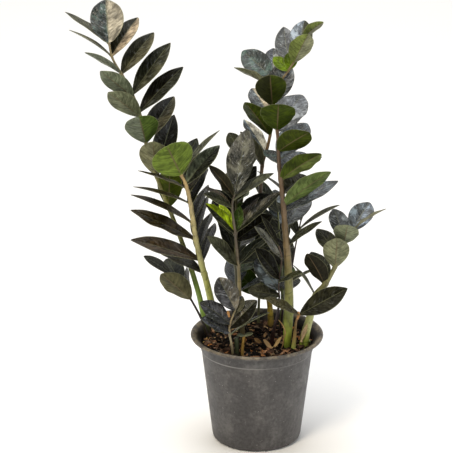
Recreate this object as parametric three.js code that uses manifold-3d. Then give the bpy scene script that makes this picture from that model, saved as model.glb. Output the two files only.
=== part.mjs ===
// A potted zz plant: leafy fronds that rise from rhizomes in bark compost, in a plastic nursery pot.
// Millimetres, +Z up. The origin is the centre of the pot's underside, and the plant's show side faces -Y.
import * as THREE from "three";
import { mergeVertices } from "three/addons/utils/BufferGeometryUtils.js";
import Module from "manifold-3d";

const wasm = await Module();
wasm.setup();

// Driving dimensions
const RIM_RADIUS = 85; // outside of the rolled rim
const POT_HEIGHT = 143;
const BASE_RADIUS = 57.5; // where the wall meets the rounded lower corner
const WALL_TOP_RADIUS = 74; // outside of the wall, just under the rim
const WALL = 2; // thickness of the moulded wall
const COLLAR_HEIGHT = 121; // where the wall steps in a little below the collar
const COLLAR_STEP = 0.8;
const FLANGE_RADIUS = 77.5; // where the wall flares out to the rim
const POT_SIDES = 36;
const UNDERSIDE_RISE = 2.5; // how far the drain channel stands off the floor
const FOOT_INNER_RADIUS = 47;
const CENTRE_PAD_RADIUS = 20; // flat disc that the pot stands on, inside the drain channel
const DRAIN_HOLES = 8;
const DRAIN_HOLE_RADIUS = 4.5;
const DRAIN_HOLE_SIDES = 12;
const DRAIN_CIRCLE_RADIUS = 34;
const NOTCHES = 4;
const NOTCH_WIDTH = 9;
const NOTCH_LENGTH = 16;
const NOTCH_HEIGHT = 1.5;
const NOTCH_TURN = 0.12; // radians that the notches stand away from the show side
const FLOOR_EDGE_HEIGHT = 8; // where the wall's inside begins, over the rounded corner

const SOIL_TOP = 129;
const SOIL_RELIEF = 3; // how far the chips stand up or lie low
const SOIL_RINGS = [0.985, 0.83, 0.63, 0.43, 0.24]; // of the uneven top, as shares of its radius
const SOIL_SEED = 77;
const SOIL_SIDES = 24;
const SOIL_FOOT_HEIGHT = 12; // where the compost's side begins, over the rounded corner
const SOIL_WALL_GAP = 1.2; // keeps its flat sides off the pot's
const FIT_GAP = 0.3; // clearance between touching pieces
const SIMPLIFY = 0.1; // largest change of shape when needless triangles are joined

const BLADE_THICKNESS = 1.1; // at the midrib
const EDGE_THICKNESS = 0.7;
const ROOT_HALF_WIDTH = 1.3; // of a leaflet where it leaves the stalk
const LEAFLET_SEED = 4711;
const LEAN_SPREAD = 4; // degrees over which the leaflets of a row differ
const LIFT_SPREAD = 6;
const TURN_SPREAD = 8;
const LEAST_FOLD = 0.12; // rise of a blade's sides for each millimetre from the midrib
const FOLD_SPREAD = 0.14;
const LEAST_ARCH = 0.05; // drop of a blade's tip, as a share of its length
const ARCH_SPREAD = 0.1;
const BLADE_STATIONS = [0, 0.2, 0.5, 0.81]; // along a leaflet, before its tip
const BLADE_FULLNESS = 1.1; // higher is widest nearer to the tip
const SLIM_BLUNTNESS = 0.95; // lower is blunter: a broad leaflet is blunter than a slim one
const BROAD_BLUNTING = 0.6;
const STALK_SIDES = 6;
const STALK_STEPS = 2; // rings for each stretch between two points of a route
const STALK_TAPER = 1.2; // higher is slimmer in the middle, and a shoot may have its own
const FOOT_REACH = 1.9; // how far up its route a stalk with a narrow foot swells
const CLEARANCE = 2.6; // least gap between a leaflet and another frond
const OWN_CLEARANCE = 1.4; // and between two leaflets of one frond

// Seeded draw, 0 to 1
function seededDraw(seed) {
  let state = seed;
  return () => {
    state = (state * 16807) % 2147483647;
    return state / 2147483647;
  };
}

// A frond's stalk follows its route. Each row of leaflets runs along it, from one place to another, counted
// in points of the route, and changes evenly from its first leaflet to its last:
//   lean  degrees from upright, clockwise as the show side sees it
//   lift  degrees out of that view, towards the viewer
//   turn  degrees that the blade is rolled about its midrib, 0 with its upper face to the viewer
//   size  length and greatest width
function row(from, to, count, lean, lift, turn, length, width) {
  return { from, to, count, lean, lift, turn, length, width };
}

function leaflet(at, lean, lift, turn, length, width) {
  return row(at, at, 1, [lean, lean], [lift, lift], [turn, turn], [length, length], [width, width]);
}

const SHOOTS = [
  {
    name: "frond_tall_left",
    base: 4.2,
    tip: 1.2,
    route: [
      [-52, 20, 90], [-65.5, 22, 142], [-75, 27, 186], [-90, 27, 238], [-106, 20, 288], [-123, 12, 338],
      [-137, 4, 385], [-145, -2, 431], [-159, -8, 472], [-177, -14, 507], [-182, -18, 530],
    ],
    rows: [
      leaflet(10, -3, -12, 0, 57, 41),
      row(9.95, 9.2, 2, [-49, -51], [-14, -10], [72, 80], [70, 62], [26, 22]),
      leaflet(8.45, -52, 10, 108, 52, 26),
      row(7.6, 7, 2, [-50, -50], [36, 40], [146, 150], [64, 64], [27, 29]),
      leaflet(6.25, -12, 55, 180, 66, 42),
      leaflet(5.3, -2, 48, 176, 62, 38),
      leaflet(4.37, 3, 32, 172, 62, 32),
      row(9.2, 8.45, 2, [28, 31], [-15, -13], [-35, -35], [62, 68], [29, 31]),
      row(7.72, 7.15, 2, [33, 40], [-12, -10], [-35, -35], [82, 80], [30, 30]),
      row(6.3, 5.25, 2, [30, 11], [-20, -20], [-30, -20], [72, 90], [32, 32]),
      leaflet(4.5, 25, -20, -20, 98, 36),
    ],
  },
  {
    name: "frond_front_left",
    base: 6,
    tip: 1.8,
    route: [
      [-40, 24, 90], [-48.5, 33, 132], [-54.5, 22, 157], [-63, 2, 205], [-71, -15, 245], [-78, -28, 284],
      [-83, -38, 327], [-89, -42, 356], [-95, -44, 370],
    ],
    rows: [
      leaflet(8, -27, 50, 180, 64, 53),
      row(6.8, 6.1, 2, [-68, -67], [0, 0], [82, 78], [64, 74], [24, 26]),
      leaflet(5.4, -57, 0, 75, 86, 28),
      row(4.85, 4.05, 2, [-61, -68], [5, 5], [62, 55], [90, 92], [32, 35]),
      leaflet(3.5, -58, -10, 60, 74, 30),
      row(7.9, 7, 2, [33, 35], [-10, -10], [-75, -40], [74, 66], [30, 30]),
      row(6.5, 3.9, 6, [16, 9], [-42, -42], [-55, -55], [70, 76], [30, 34]),
    ],
  },
  {
    name: "frond_centre",
    base: 3.4,
    tip: 1.2,
    route: [
      [-16, -6, 90], [-19, -6, 155], [-22, -9, 192], [-24, -14, 239], [-28, -20, 285], [-32, -25, 321],
      [-29, -26, 338],
    ],
    rows: [
      leaflet(6, 10, 0, -15, 83, 36),
      leaflet(5.9, -35, 5, 130, 50, 22),
      leaflet(5.5, 48, 10, -60, 60, 25),
      leaflet(5, -56, 26, 65, 41, 22),
      leaflet(4.9, -33, -14, 60, 46, 18),
      leaflet(4, -44, 14, 55, 54, 26),
      leaflet(4, 52, 12, -62, 80, 24),
      leaflet(4.02, -26, -22, 10, 47, 14),
      leaflet(4.01, 10, 4, 0, 34, 14),
      leaflet(3.98, 27, -20, -60, 60, 20),
      leaflet(3, -43, 32, 50, 62, 24),
      leaflet(3, 45, 14, -75, 76, 26),
    ],
  },
  {
    name: "frond_tall_right",
    base: 9.2,
    tip: 1.2,
    foot: 0.3,
    taper: 2.8,
    route: [
      [36, -17, 92], [38.5, -17, 140], [40, -18, 192], [38.6, -21, 239], [34.3, -24, 291], [31, -27, 332],
      [26, -30, 377], [23, -32, 424], [17, -32, 457], [24, -30, 480], [38, -27, 500], [47, -24, 516],
      [54, -21, 538],
    ],
    rows: [
      row(4.8, 6.4, 3, [48, 56], [15, 45], [-128, -140], [74, 62], [36, 36]),
      row(7, 7.95, 2, [2, -8], [56, 52], [180, 180], [64, 61], [43, 38]),
      leaflet(8.1, 20, 8, -5, 52, 32),
      leaflet(9.95, 8, -4, 0, 22, 17),
      leaflet(9.85, -51, -6, 20, 25, 16),
      leaflet(5.55, 52, -30, -80, 72, 10),
      leaflet(10.5, 24, 35, -150, 44, 30),
      leaflet(12, 46, 15, -120, 31, 20),
      leaflet(3.55, 47, 0, -72, 54, 24),
      leaflet(4.1, 35, -40, -30, 68, 34),
      leaflet(4.6, 54, -15, -50, 84, 30),
      row(5.2, 6.2, 3, [50, 35], [-45, -32], [-30, -25], [56, 70], [34, 38]),
      leaflet(6.95, 28, -25, -20, 68, 42),
      leaflet(10, -7, -25, -10, 62, 27),
      leaflet(10.95, 12, -20, -10, 50, 28),
      leaflet(5.3, -35, -35, 75, 52, 20),
      leaflet(6.05, -35, -50, 30, 45, 18),
    ],
  },
  {
    name: "frond_tall_middle",
    base: 4.2,
    tip: 1.2,
    route: [
      [17, 50, 90], [18.5, 52, 142], [14.5, 46, 184], [8, 36, 255], [4, 32, 304], [6, 29, 357], [13, 28, 384],
      [18, 28, 415], [19, 27, 452], [17, 26, 475],
    ],
    rows: [
      leaflet(9, 3, -40, 0, 54, 22),
      leaflet(8.95, -49, -16, 12, 53, 32),
      leaflet(8.45, -60, 10, 110, 54, 18),
      leaflet(7.1, -29, -30, 30, 58, 32),
      leaflet(6.5, -37, 35, 135, 62, 34),
      leaflet(5.6, -26, -25, 55, 58, 28),
      leaflet(5, -25, 20, 120, 56, 28),
    ],
  },
  {
    name: "frond_short_right",
    base: 6.6,
    tip: 1.1,
    route: [
      [55.5, -17, 86], [60.5, -17, 141], [66, -20, 168], [73, -24, 201], [85, -27, 219], [97, -29, 243],
      [104, -30, 263], [109, -31, 280], [121, -31, 296],
    ],
    rows: [
      leaflet(8, 50, 15, -105, 46, 22),
      leaflet(7.7, 28, -26, -15, 54, 30),
      leaflet(6.75, 8, 58, 180, 44, 32),
      leaflet(6.95, -15, -30, 25, 50, 27),
      leaflet(5.6, -30, -26, 35, 52, 29),
      leaflet(5, 4, 40, 180, 50, 33),
      leaflet(4.1, -20, -30, 30, 52, 28),
      leaflet(4, -26, 25, 140, 54, 28),
      leaflet(3.05, -29, 0, 78, 48, 20),
    ],
  },
  {
    name: "frond_low_right",
    base: 5.8,
    tip: 1.3,
    taper: 3,
    route: [[41.5, -26, 92], [47, -25, 140], [49, -31, 170], [53, -37, 182]],
    rows: [
      leaflet(3, 55, 10, -10, 70, 29),
      leaflet(3, -57, 10, 65, 50, 22),
    ],
  },
  {
    name: "frond_short_front",
    base: 1.8,
    tip: 1,
    route: [[-26, -36, 90], [-32.5, -50, 145], [-35, -50, 160], [-34.5, -51, 175], [-28, -50, 193]],
    rows: [
      leaflet(4, -26, -10, 15, 47, 30),
      leaflet(3.7, 25, -10, -20, 26, 16),
      leaflet(3, -47, 10, 45, 46, 30),
      leaflet(2.6, 33, 15, -34, 50, 27),
      leaflet(2.2, -52, 30, 60, 46, 26),
      leaflet(2, 50, 10, -85, 58, 24),
    ],
  },
  {
    name: "frond_low_left",
    base: 2.2,
    tip: 0.9,
    route: [[-53, 12, 90], [-63, 10, 133], [-70, 13, 153], [-85, 19, 181], [-98, 23, 200], [-110, 25, 213]],
    rows: [
      leaflet(5, -52, 0, 60, 42, 26),
      leaflet(4, -27, -30, 20, 46, 28),
      leaflet(3, -46, 22, 150, 55, 34),
      leaflet(3.1, -5, -30, -60, 46, 26),
    ],
  },
  {
    name: "frond_thin_centre",
    base: 5,
    tip: 0.9,
    taper: 4,
    route: [
      [13, 5, 90], [20.5, -12, 145], [27.5, -14, 186], [27, -26, 219], [30, -35, 256], [26, -37, 274],
    ],
    rows: [
      leaflet(5, -27, 0, 60, 44, 14),
      leaflet(4.6, -2, -30, -20, 40, 20),
      leaflet(4, -36, 0, 70, 60, 24),
      leaflet(3.2, -34, 8, 50, 54, 28),
      leaflet(3.1, 60, 14, -75, 44, 20),
      leaflet(2.7, -34, -10, 30, 50, 30),
      leaflet(2.4, -75, 0, 40, 40, 24),
    ],
  },
  {
    name: "frond_thin_right",
    base: 1.5,
    tip: 0.9,
    route: [[27, 34, 90], [32.5, 30, 150], [38, 30, 196], [45, 30, 222], [50, 30, 254], [56, 30, 285]],
    rows: [
      leaflet(5, -14, -40, -10, 52, 26),
      leaflet(4.6, 52, 10, -80, 60, 24),
      row(4.3, 3, 2, [-25, -30], [-10, -10], [50, 50], [52, 52], [26, 26]),
      leaflet(1.8, 20, -55, -20, 42, 28),
      leaflet(2, 56, 0, -80, 44, 20),
    ],
  },
  {
    name: "frond_dark_middle",
    base: 3,
    tip: 1.1,
    route: [
      [-18, 12, 90], [-23, 22, 158], [-27, 20, 229], [-27, 18, 275], [-27, 16, 316], [-24, 14, 352],
      [-21, 13, 379],
    ],
    rows: [
      leaflet(6, -28, -20, 10, 32, 20),
      leaflet(5.2, 18, -10, -30, 40, 20),
      leaflet(3.2, -16, 20, 30, 38, 16),
      leaflet(3.22, 14, 20, -20, 30, 14),
      row(2.2, 4, 4, [-42, -28], [0, 0], [40, 40], [60, 42], [32, 26]),
      row(2, 4, 4, [42, 26], [0, 0], [-40, -40], [60, 50], [32, 26]),
    ],
  },
  {
    name: "frond_back_left",
    base: 3.2,
    tip: 1.1,
    azimuth: -75,
    route: [[-11, 46, 90], [-22, 58, 160], [-30, 82, 230], [-36, 104, 300]],
    rows: [
      leaflet(3, 10, -10, 0, 56, 34),
      row(1.3, 2.8, 5, [-58, -40], [0, 0], [40, 40], [64, 54], [34, 30]),
      row(1.2, 2.7, 5, [62, 50], [0, 0], [-40, -40], [64, 54], [34, 30]),
    ],
  },
  {
    name: "frond_back_right",
    base: 3.2,
    tip: 1.1,
    azimuth: 70,
    route: [[29, 46, 90], [34, 56, 160], [31, 77, 220], [28, 98, 272]],
    rows: [
      leaflet(3, -10, -10, 0, 54, 34),
      row(1.3, 2.8, 4, [-62, -50], [0, 0], [40, 40], [62, 52], [34, 30]),
      row(1.2, 2.7, 4, [58, 40], [0, 0], [-40, -40], [62, 52], [34, 30]),
    ],
  },
  {
    name: "frond_back_low",
    base: 2.4,
    tip: 1,
    azimuth: 170,
    route: [[3, 50, 90], [3, 63, 146], [6, 94, 190], [8, 118, 215]],
    rows: [
      leaflet(3, 0, 30, 180, 50, 30),
      row(1.5, 2.7, 3, [-60, -45], [30, 30], [140, 140], [54, 48], [30, 28]),
      row(1.4, 2.6, 3, [60, 45], [30, 30], [-140, -140], [54, 48], [30, 28]),
    ],
  },
  {
    name: "stub_tan",
    base: 2.4,
    tip: 1.6,
    route: [[-13, -36, 90], [-18.8, -45, 130], [-17, -45, 156]],
    rows: [leaflet(2, -74, 5, 60, 9, 7), leaflet(2, 66, 5, -60, 12, 8)],
  },
  {
    name: "stub_dark",
    base: 3.6,
    tip: 2.8,
    route: [[-22, -33, 90], [-25.5, -42.5, 130], [-26, -42, 153]],
    rows: [],
  },
  {
    name: "stub_right",
    base: 2.2,
    tip: 1.8,
    route: [[50, -2, 90], [62, -6, 127], [67.5, -8, 134]],
    rows: [],
  },
];

// The rhizomes lie under the stalks that rise from them: centre, half length, half width, half height.
const RHIZOME_SIDES = 10;
const RHIZOME_RINGS = 7;
const RHIZOMES = [
  { name: "rhizome_left", centre: [-45, 14, 84], radii: [15, 20, 16] },
  { name: "rhizome_front", centre: [-22, -20, 84], radii: [18, 22, 16] },
  { name: "rhizome_centre", centre: [0, 10, 84], radii: [22, 10, 14] },
  { name: "rhizome_right", centre: [41, -18, 84], radii: [16, 20, 16] },
  { name: "rhizome_back", centre: [10, 40, 84], radii: [28, 18, 16] },
];

// Solids

function solid(positions, triangles) {
  const geometry = new THREE.BufferGeometry();
  geometry.setAttribute("position", new THREE.Float32BufferAttribute(positions, 3));
  geometry.setIndex(triangles);
  return solidOf(geometry);
}

function solidOf(geometry) {
  const bare = geometry.clone();
  bare.deleteAttribute("normal");
  bare.deleteAttribute("uv");
  const merged = mergeVertices(bare, 1e-4);
  return new wasm.Manifold(
    new wasm.Mesh({
      numProp: 3,
      vertProperties: merged.attributes.position.array,
      triVerts: new Uint32Array(merged.index.array),
    }),
  );
}

// The largest body alone: a loose scrap or a sealed hollow is left out.
function wholeBody(manifold) {
  const bodies = manifold.decompose();
  bodies.sort((a, b) => b.volume() - a.volume());
  return bodies[0];
}

function meshOf(name, manifold, material) {
  const { vertProperties, triVerts } = manifold.getMesh();
  const geometry = new THREE.BufferGeometry();
  geometry.setAttribute("position", new THREE.Float32BufferAttribute(vertProperties, 3));
  geometry.setIndex(Array.from(triVerts));
  geometry.computeVertexNormals();
  const mesh = new THREE.Mesh(geometry, material);
  mesh.name = name;
  return mesh;
}

// Rings of points joined into a closed solid, with a cap at each end. A ring may be a single point.
function loft(rings) {
  const positions = rings.flat(2);
  const triangles = [];
  const starts = [];
  let next = 0;
  for (const ring of rings) {
    starts.push(next);
    next += ring.length;
  }
  for (let i = 0; i < rings.length - 1; i++) {
    const sides = Math.max(rings[i].length, rings[i + 1].length);
    for (let k = 0; k < sides; k++) {
      const a = starts[i] + (k % rings[i].length);
      const b = starts[i] + ((k + 1) % rings[i].length);
      const c = starts[i + 1] + (k % rings[i + 1].length);
      const d = starts[i + 1] + ((k + 1) % rings[i + 1].length);
      if (a !== b) triangles.push(a, b, d);
      if (c !== d) triangles.push(a, d, c);
    }
  }
  const first = rings[0].length;
  for (let k = 1; k < first - 1; k++) triangles.push(0, k + 1, k);
  const last = rings.at(-1).length;
  for (let k = 1; k < last - 1; k++) triangles.push(starts.at(-1), starts.at(-1) + k, starts.at(-1) + k + 1);
  return solid(positions, triangles);
}

// Stalks

const routeCurve = (frond) =>
  new THREE.CatmullRomCurve3(frond.route.map((p) => new THREE.Vector3(...p)), false, "catmullrom", 0.5);

const routePlace = (frond, at) => routeCurve(frond).getPoint(at / (frond.route.length - 1));

function stalkRadius(frond, at) {
  const left = 1 - at / (frond.route.length - 1);
  const narrowed = (1 - (frond.foot ?? 1)) * (1 - THREE.MathUtils.smoothstep(at, 0, FOOT_REACH));
  return (frond.tip + (frond.base - frond.tip) * left ** (frond.taper ?? STALK_TAPER)) * (1 - narrowed);
}

function stalkStations(frond) {
  const count = (frond.route.length - 1) * STALK_STEPS;
  return Array.from({ length: count + 1 }, (_, i) => i / STALK_STEPS);
}

function stalk(frond, extra = 0) {
  const curve = routeCurve(frond);
  const stations = stalkStations(frond);
  const last = frond.route.length - 1;
  let side = new THREE.Vector3(1, 0, 0);
  const rings = stations.map((at) => {
    const centre = curve.getPoint(at / last);
    const along = curve.getTangent(at / last);
    side = side.clone().addScaledVector(along, -side.dot(along)).normalize();
    const other = new THREE.Vector3().crossVectors(along, side);
    const radius = stalkRadius(frond, at) + extra;
    return Array.from({ length: STALK_SIDES }, (_, k) => {
      const angle = (2 * Math.PI * k) / STALK_SIDES;
      return centre
        .clone()
        .addScaledVector(side, radius * Math.cos(angle))
        .addScaledVector(other, radius * Math.sin(angle))
        .toArray();
    });
  });
  return loft(rings);
}

// Leaflets

const VIEW_PITCH = THREE.MathUtils.degToRad(19.65); // the show side is looked at from a little above
const RIGHT = new THREE.Vector3(1, 0, 0);
const FRONT = new THREE.Vector3(0, -Math.cos(VIEW_PITCH), Math.sin(VIEW_PITCH));
const UP = new THREE.Vector3().crossVectors(FRONT, RIGHT);
const UPRIGHT = new THREE.Vector3(0, 0, 1);

// A frond with an azimuth has its leaflets' view turned that far about the upright, anticlockwise from above.
const turned = (direction, frond) =>
  direction.clone().applyAxisAngle(UPRIGHT, THREE.MathUtils.degToRad(frond.azimuth ?? 0));

// A blade's own frame: along its midrib, across it, and out of its upper face.
function bladeFrame(blade) {
  const [lean, lift, turn] = [blade.lean, blade.lift, blade.turn].map(THREE.MathUtils.degToRad);
  const along = new THREE.Vector3()
    .addScaledVector(blade.right, Math.sin(lean) * Math.cos(lift))
    .addScaledVector(blade.up, Math.cos(lean) * Math.cos(lift))
    .addScaledVector(blade.front, Math.sin(lift));
  const flat = blade.front.clone().addScaledVector(along, -blade.front.dot(along)).normalize();
  const rolled = new THREE.Vector3().crossVectors(along, flat);
  const out = flat.multiplyScalar(Math.cos(turn)).addScaledVector(rolled, Math.sin(turn));
  const across = new THREE.Vector3().crossVectors(along, out);
  return { ...blade, along, across, out };
}

function halfWidth(blade, s) {
  const bluntness = SLIM_BLUNTNESS - (BROAD_BLUNTING * blade.width) / blade.length;
  const swell = Math.sin(Math.PI * Math.min(s, 1) ** BLADE_FULLNESS) ** bluntness;
  return Math.max(ROOT_HALF_WIDTH * (1 - s), (blade.width / 2) * swell);
}

// How far the blade's middle surface stands out of its frame: the sides fold up, and the tip bends back.
const bladeRise = (blade, s, reach) => blade.fold * Math.abs(reach) - blade.arch * blade.length * s * s;

function bladePoint(blade, s, side, offset = 0) {
  const reach = side * halfWidth(blade, s);
  return blade.root
    .clone()
    .addScaledVector(blade.along, blade.length * s)
    .addScaledVector(blade.across, reach)
    .addScaledVector(blade.out, bladeRise(blade, s, reach) + offset);
}

function bladeSolid(blade) {
  const edge = EDGE_THICKNESS / 2;
  const middle = BLADE_THICKNESS / 2;
  const rings = BLADE_STATIONS.map((s) =>
    [
      bladePoint(blade, s, -1, edge),
      bladePoint(blade, s, 0, middle),
      bladePoint(blade, s, 1, edge),
      bladePoint(blade, s, 1, -edge),
      bladePoint(blade, s, 0, -middle),
      bladePoint(blade, s, -1, -edge),
    ].map((p) => p.toArray()),
  );
  rings.push([bladePoint(blade, 1, 0).toArray()]);
  return loft(rings);
}

// Bending clear: each leaflet swings about its root in small steps until it is clear of what is placed.

const NEAR_ROOT = 0.25; // share of a leaflet's length that may lie close to its neighbours on the stalk
const SAMPLES_ALONG = 14;
const SAMPLES_ACROSS = 4;
const SWING_STEP = 7;
const SWING_RINGS = 6;
const SWING_DIRECTIONS = 8;
const STALK_SAMPLES = 14; // for each stretch of a route
const RIM_MARGIN = 3;

function bladeSamples(blade) {
  const points = [];
  for (let i = 1; i <= SAMPLES_ALONG; i++)
    for (let k = -SAMPLES_ACROSS; k <= SAMPLES_ACROSS; k++)
      points.push({ s: i / SAMPLES_ALONG, at: bladePoint(blade, i / SAMPLES_ALONG, k / SAMPLES_ACROSS) });
  return points;
}

// Whether a point lies within a gap of the blade.
function nearBlade(blade, point, gap, from = 0) {
  const offset = point.clone().sub(blade.root);
  const s = offset.dot(blade.along) / blade.length;
  if (s < from || s > 1 + gap / blade.length) return false;
  const reach = offset.dot(blade.across);
  if (Math.abs(reach) > halfWidth(blade, s) + gap) return false;
  return Math.abs(offset.dot(blade.out) - bladeRise(blade, s, reach)) < gap;
}

function bladesClash(a, b, gap, from) {
  const middles = bladePoint(a, 0.5, 0).distanceTo(bladePoint(b, 0.5, 0));
  if (middles > (a.length + b.length) / 2 + (a.width + b.width) / 4) return false;
  return (
    a.samples.some((p) => p.s > from && nearBlade(b, p.at, gap, from)) ||
    b.samples.some((p) => p.s > from && nearBlade(a, p.at, gap, from))
  );
}

function meetsPot(point) {
  const radial = Math.hypot(point.x, point.y);
  if (radial > RIM_RADIUS + RIM_MARGIN || point.z > POT_HEIGHT + RIM_MARGIN) return false;
  return radial > WALL_TOP_RADIUS - RIM_MARGIN - WALL || point.z < SOIL_TOP + SOIL_RELIEF + 1;
}

function isClear(blade, placed, stalks) {
  if (blade.samples.some((p) => meetsPot(p.at))) return false;
  for (const other of placed) {
    const own = other.frond === blade.frond;
    if (bladesClash(blade, other, own ? OWN_CLEARANCE : CLEARANCE, own ? NEAR_ROOT : 0)) return false;
  }
  for (const { frond, samples } of stalks) {
    if (frond === blade.frond) continue;
    if (samples.some((p) => nearBlade(blade, p.at, p.radius + CLEARANCE / 2))) return false;
  }
  return true;
}

function swings() {
  const list = [[0, 0]];
  for (let ring = 1; ring <= SWING_RINGS; ring++)
    for (let k = 0; k < SWING_DIRECTIONS; k++) {
      const angle = (2 * Math.PI * k) / SWING_DIRECTIONS;
      list.push([ring * SWING_STEP * Math.cos(angle), ring * SWING_STEP * Math.sin(angle)]);
    }
  return list;
}

function bentClear(wanted, placed, stalks) {
  for (const [lean, lift] of swings()) {
    const blade = bladeFrame({ ...wanted, lean: wanted.lean + lean, lift: wanted.lift + lift });
    blade.samples = bladeSamples(blade);
    if (isClear(blade, placed, stalks)) return blade;
  }
  return null;
}

function stalkSamples(frond) {
  const count = (frond.route.length - 1) * STALK_SAMPLES;
  return Array.from({ length: count + 1 }, (_, i) => ({
    at: routePlace(frond, i / STALK_SAMPLES),
    radius: stalkRadius(frond, i / STALK_SAMPLES),
  }));
}

const between = ([first, last], part) => first + (last - first) * part;

function placeLeaflets() {
  const draw = seededDraw(LEAFLET_SEED);
  const stalks = SHOOTS.map((frond) => ({ frond: frond.name, samples: stalkSamples(frond) }));
  const placed = [];
  for (const frond of SHOOTS) {
    const [right, up, front] = [RIGHT, UP, FRONT].map((direction) => turned(direction, frond));
    for (const r of frond.rows)
      for (let i = 0; i < r.count; i++) {
        const part = r.count > 1 ? i / (r.count - 1) : 0;
        const wanted = {
          frond: frond.name,
          right,
          up,
          front,
          root: routePlace(frond, between([r.from, r.to], part)),
          lean: between(r.lean, part) + LEAN_SPREAD * (draw() - 0.5),
          lift: between(r.lift, part) + LIFT_SPREAD * (draw() - 0.5),
          turn: between(r.turn, part) + TURN_SPREAD * (draw() - 0.5),
          length: between(r.length, part),
          width: between(r.width, part),
          fold: LEAST_FOLD + FOLD_SPREAD * draw(),
          arch: LEAST_ARCH + ARCH_SPREAD * draw(),
        };
        const blade = bentClear(wanted, placed, stalks);
        if (blade) placed.push(blade);
      }
  }
  return placed;
}

const blades = placeLeaflets();

function shootSolid(frond) {
  const own = blades.filter((blade) => blade.frond === frond.name).map(bladeSolid);
  let shoot = wasm.Manifold.union([stalk(frond), ...own]);
  for (const rhizome of RHIZOMES) shoot = shoot.subtract(rhizomeSolid(rhizome, FIT_GAP));
  return wholeBody(shoot.asOriginal().simplify(SIMPLIFY));
}

// The pot

function potSolid() {
  const profile = [
    [0, 0],
    [CENTRE_PAD_RADIUS, 0],
    [CENTRE_PAD_RADIUS + 2, UNDERSIDE_RISE],
    [FOOT_INNER_RADIUS, UNDERSIDE_RISE],
    [FOOT_INNER_RADIUS + 1, 0],
    [BASE_RADIUS - 5, 0],
    [BASE_RADIUS - 1.5, 2],
    [BASE_RADIUS, 6],
    [WALL_TOP_RADIUS - COLLAR_STEP - 2, COLLAR_HEIGHT],
    [WALL_TOP_RADIUS - 2, COLLAR_HEIGHT + 1],
    [WALL_TOP_RADIUS, POT_HEIGHT - 9],
    [FLANGE_RADIUS, POT_HEIGHT - 5.5],
    [RIM_RADIUS - 1.5, POT_HEIGHT - 4.5],
    [RIM_RADIUS, POT_HEIGHT - 2.5],
    [RIM_RADIUS - 0.8, POT_HEIGHT - 0.6],
    [RIM_RADIUS - 2.5, POT_HEIGHT],
    [RIM_RADIUS - 4.7, POT_HEIGHT - 1],
    [FLANGE_RADIUS - 0.5, POT_HEIGHT - 3.2],
    [WALL_TOP_RADIUS, POT_HEIGHT - 6.2],
    [WALL_TOP_RADIUS - WALL, POT_HEIGHT - 9.5],
    [WALL_TOP_RADIUS - 2 - WALL, COLLAR_HEIGHT],
    [BASE_RADIUS - WALL, FLOOR_EDGE_HEIGHT],
    [BASE_RADIUS - WALL - 3, UNDERSIDE_RISE + WALL],
    [0, UNDERSIDE_RISE + WALL],
  ].map(([r, z]) => new THREE.Vector2(r, z));
  let pot = solidOf(new THREE.LatheGeometry(profile, POT_SIDES).rotateX(Math.PI / 2));
  for (let i = 0; i < DRAIN_HOLES; i++) {
    const angle = (2 * Math.PI * (i + 0.5)) / DRAIN_HOLES;
    const hole = new THREE.CylinderGeometry(DRAIN_HOLE_RADIUS, DRAIN_HOLE_RADIUS, 20, DRAIN_HOLE_SIDES);
    hole.rotateX(Math.PI / 2);
    hole.translate(DRAIN_CIRCLE_RADIUS * Math.cos(angle), DRAIN_CIRCLE_RADIUS * Math.sin(angle), 0);
    pot = pot.subtract(solidOf(hole));
  }
  for (let i = 0; i < NOTCHES; i++) {
    const angle = (2 * Math.PI * i) / NOTCHES - Math.PI / 2 + NOTCH_TURN;
    const notch = new THREE.BoxGeometry(NOTCH_LENGTH, NOTCH_WIDTH, 2 * NOTCH_HEIGHT);
    notch.translate(FOOT_INNER_RADIUS + 4, 0, 0).rotateZ(angle);
    pot = pot.subtract(solidOf(notch));
  }
  return wholeBody(pot);
}

// The compost

const innerWallRadius = (z) => {
  const part = (z - FLOOR_EDGE_HEIGHT) / (COLLAR_HEIGHT - FLOOR_EDGE_HEIGHT);
  return BASE_RADIUS - WALL + (WALL_TOP_RADIUS - 2 - BASE_RADIUS) * part;
};

function soilSolid() {
  const draw = seededDraw(SOIL_SEED);
  const ring = (radius, height, relief) =>
    Array.from({ length: SOIL_SIDES }, (_, k) => {
      const angle = (2 * Math.PI * k) / SOIL_SIDES;
      return [radius * Math.cos(angle), radius * Math.sin(angle), height + relief * (draw() - 0.5) * 2];
    });
  const bottom = UNDERSIDE_RISE + WALL + FIT_GAP;
  const topRadius = innerWallRadius(SOIL_TOP) - SOIL_WALL_GAP;
  const rings = [
    ring(BASE_RADIUS - WALL - 4, bottom, 0),
    ring(innerWallRadius(SOIL_FOOT_HEIGHT) - 1, SOIL_FOOT_HEIGHT, 0),
    ring(topRadius, SOIL_TOP - SOIL_RELIEF - 1, 0),
    ...SOIL_RINGS.map((part) => ring(topRadius * part, SOIL_TOP, SOIL_RELIEF)),
    [[0, 0, SOIL_TOP]],
  ];
  let soil = loft(rings);
  for (const frond of SHOOTS) soil = soil.subtract(stalk(frond, FIT_GAP));
  for (const rhizome of RHIZOMES) soil = soil.subtract(rhizomeSolid(rhizome, FIT_GAP));
  return wholeBody(soil.asOriginal().simplify(SIMPLIFY));
}

function rhizomeSolid({ centre, radii }, extra = 0) {
  const shape = new THREE.SphereGeometry(1, RHIZOME_SIDES, RHIZOME_RINGS).rotateX(Math.PI / 2);
  shape.scale(radii[0] + extra, radii[1] + extra, radii[2] + extra).translate(...centre);
  return solidOf(shape);
}

// Assembly

const finish = (color, roughness) => new THREE.MeshStandardMaterial({ color, roughness, metalness: 0 });
const leafMaterial = finish(0x2a322a, 0.35);
const potMaterial = finish(0x54524f, 0.6);
const soilMaterial = finish(0x2c1d13, 0.95);
const rhizomeMaterial = finish(0xb79a6a, 0.7);

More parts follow.
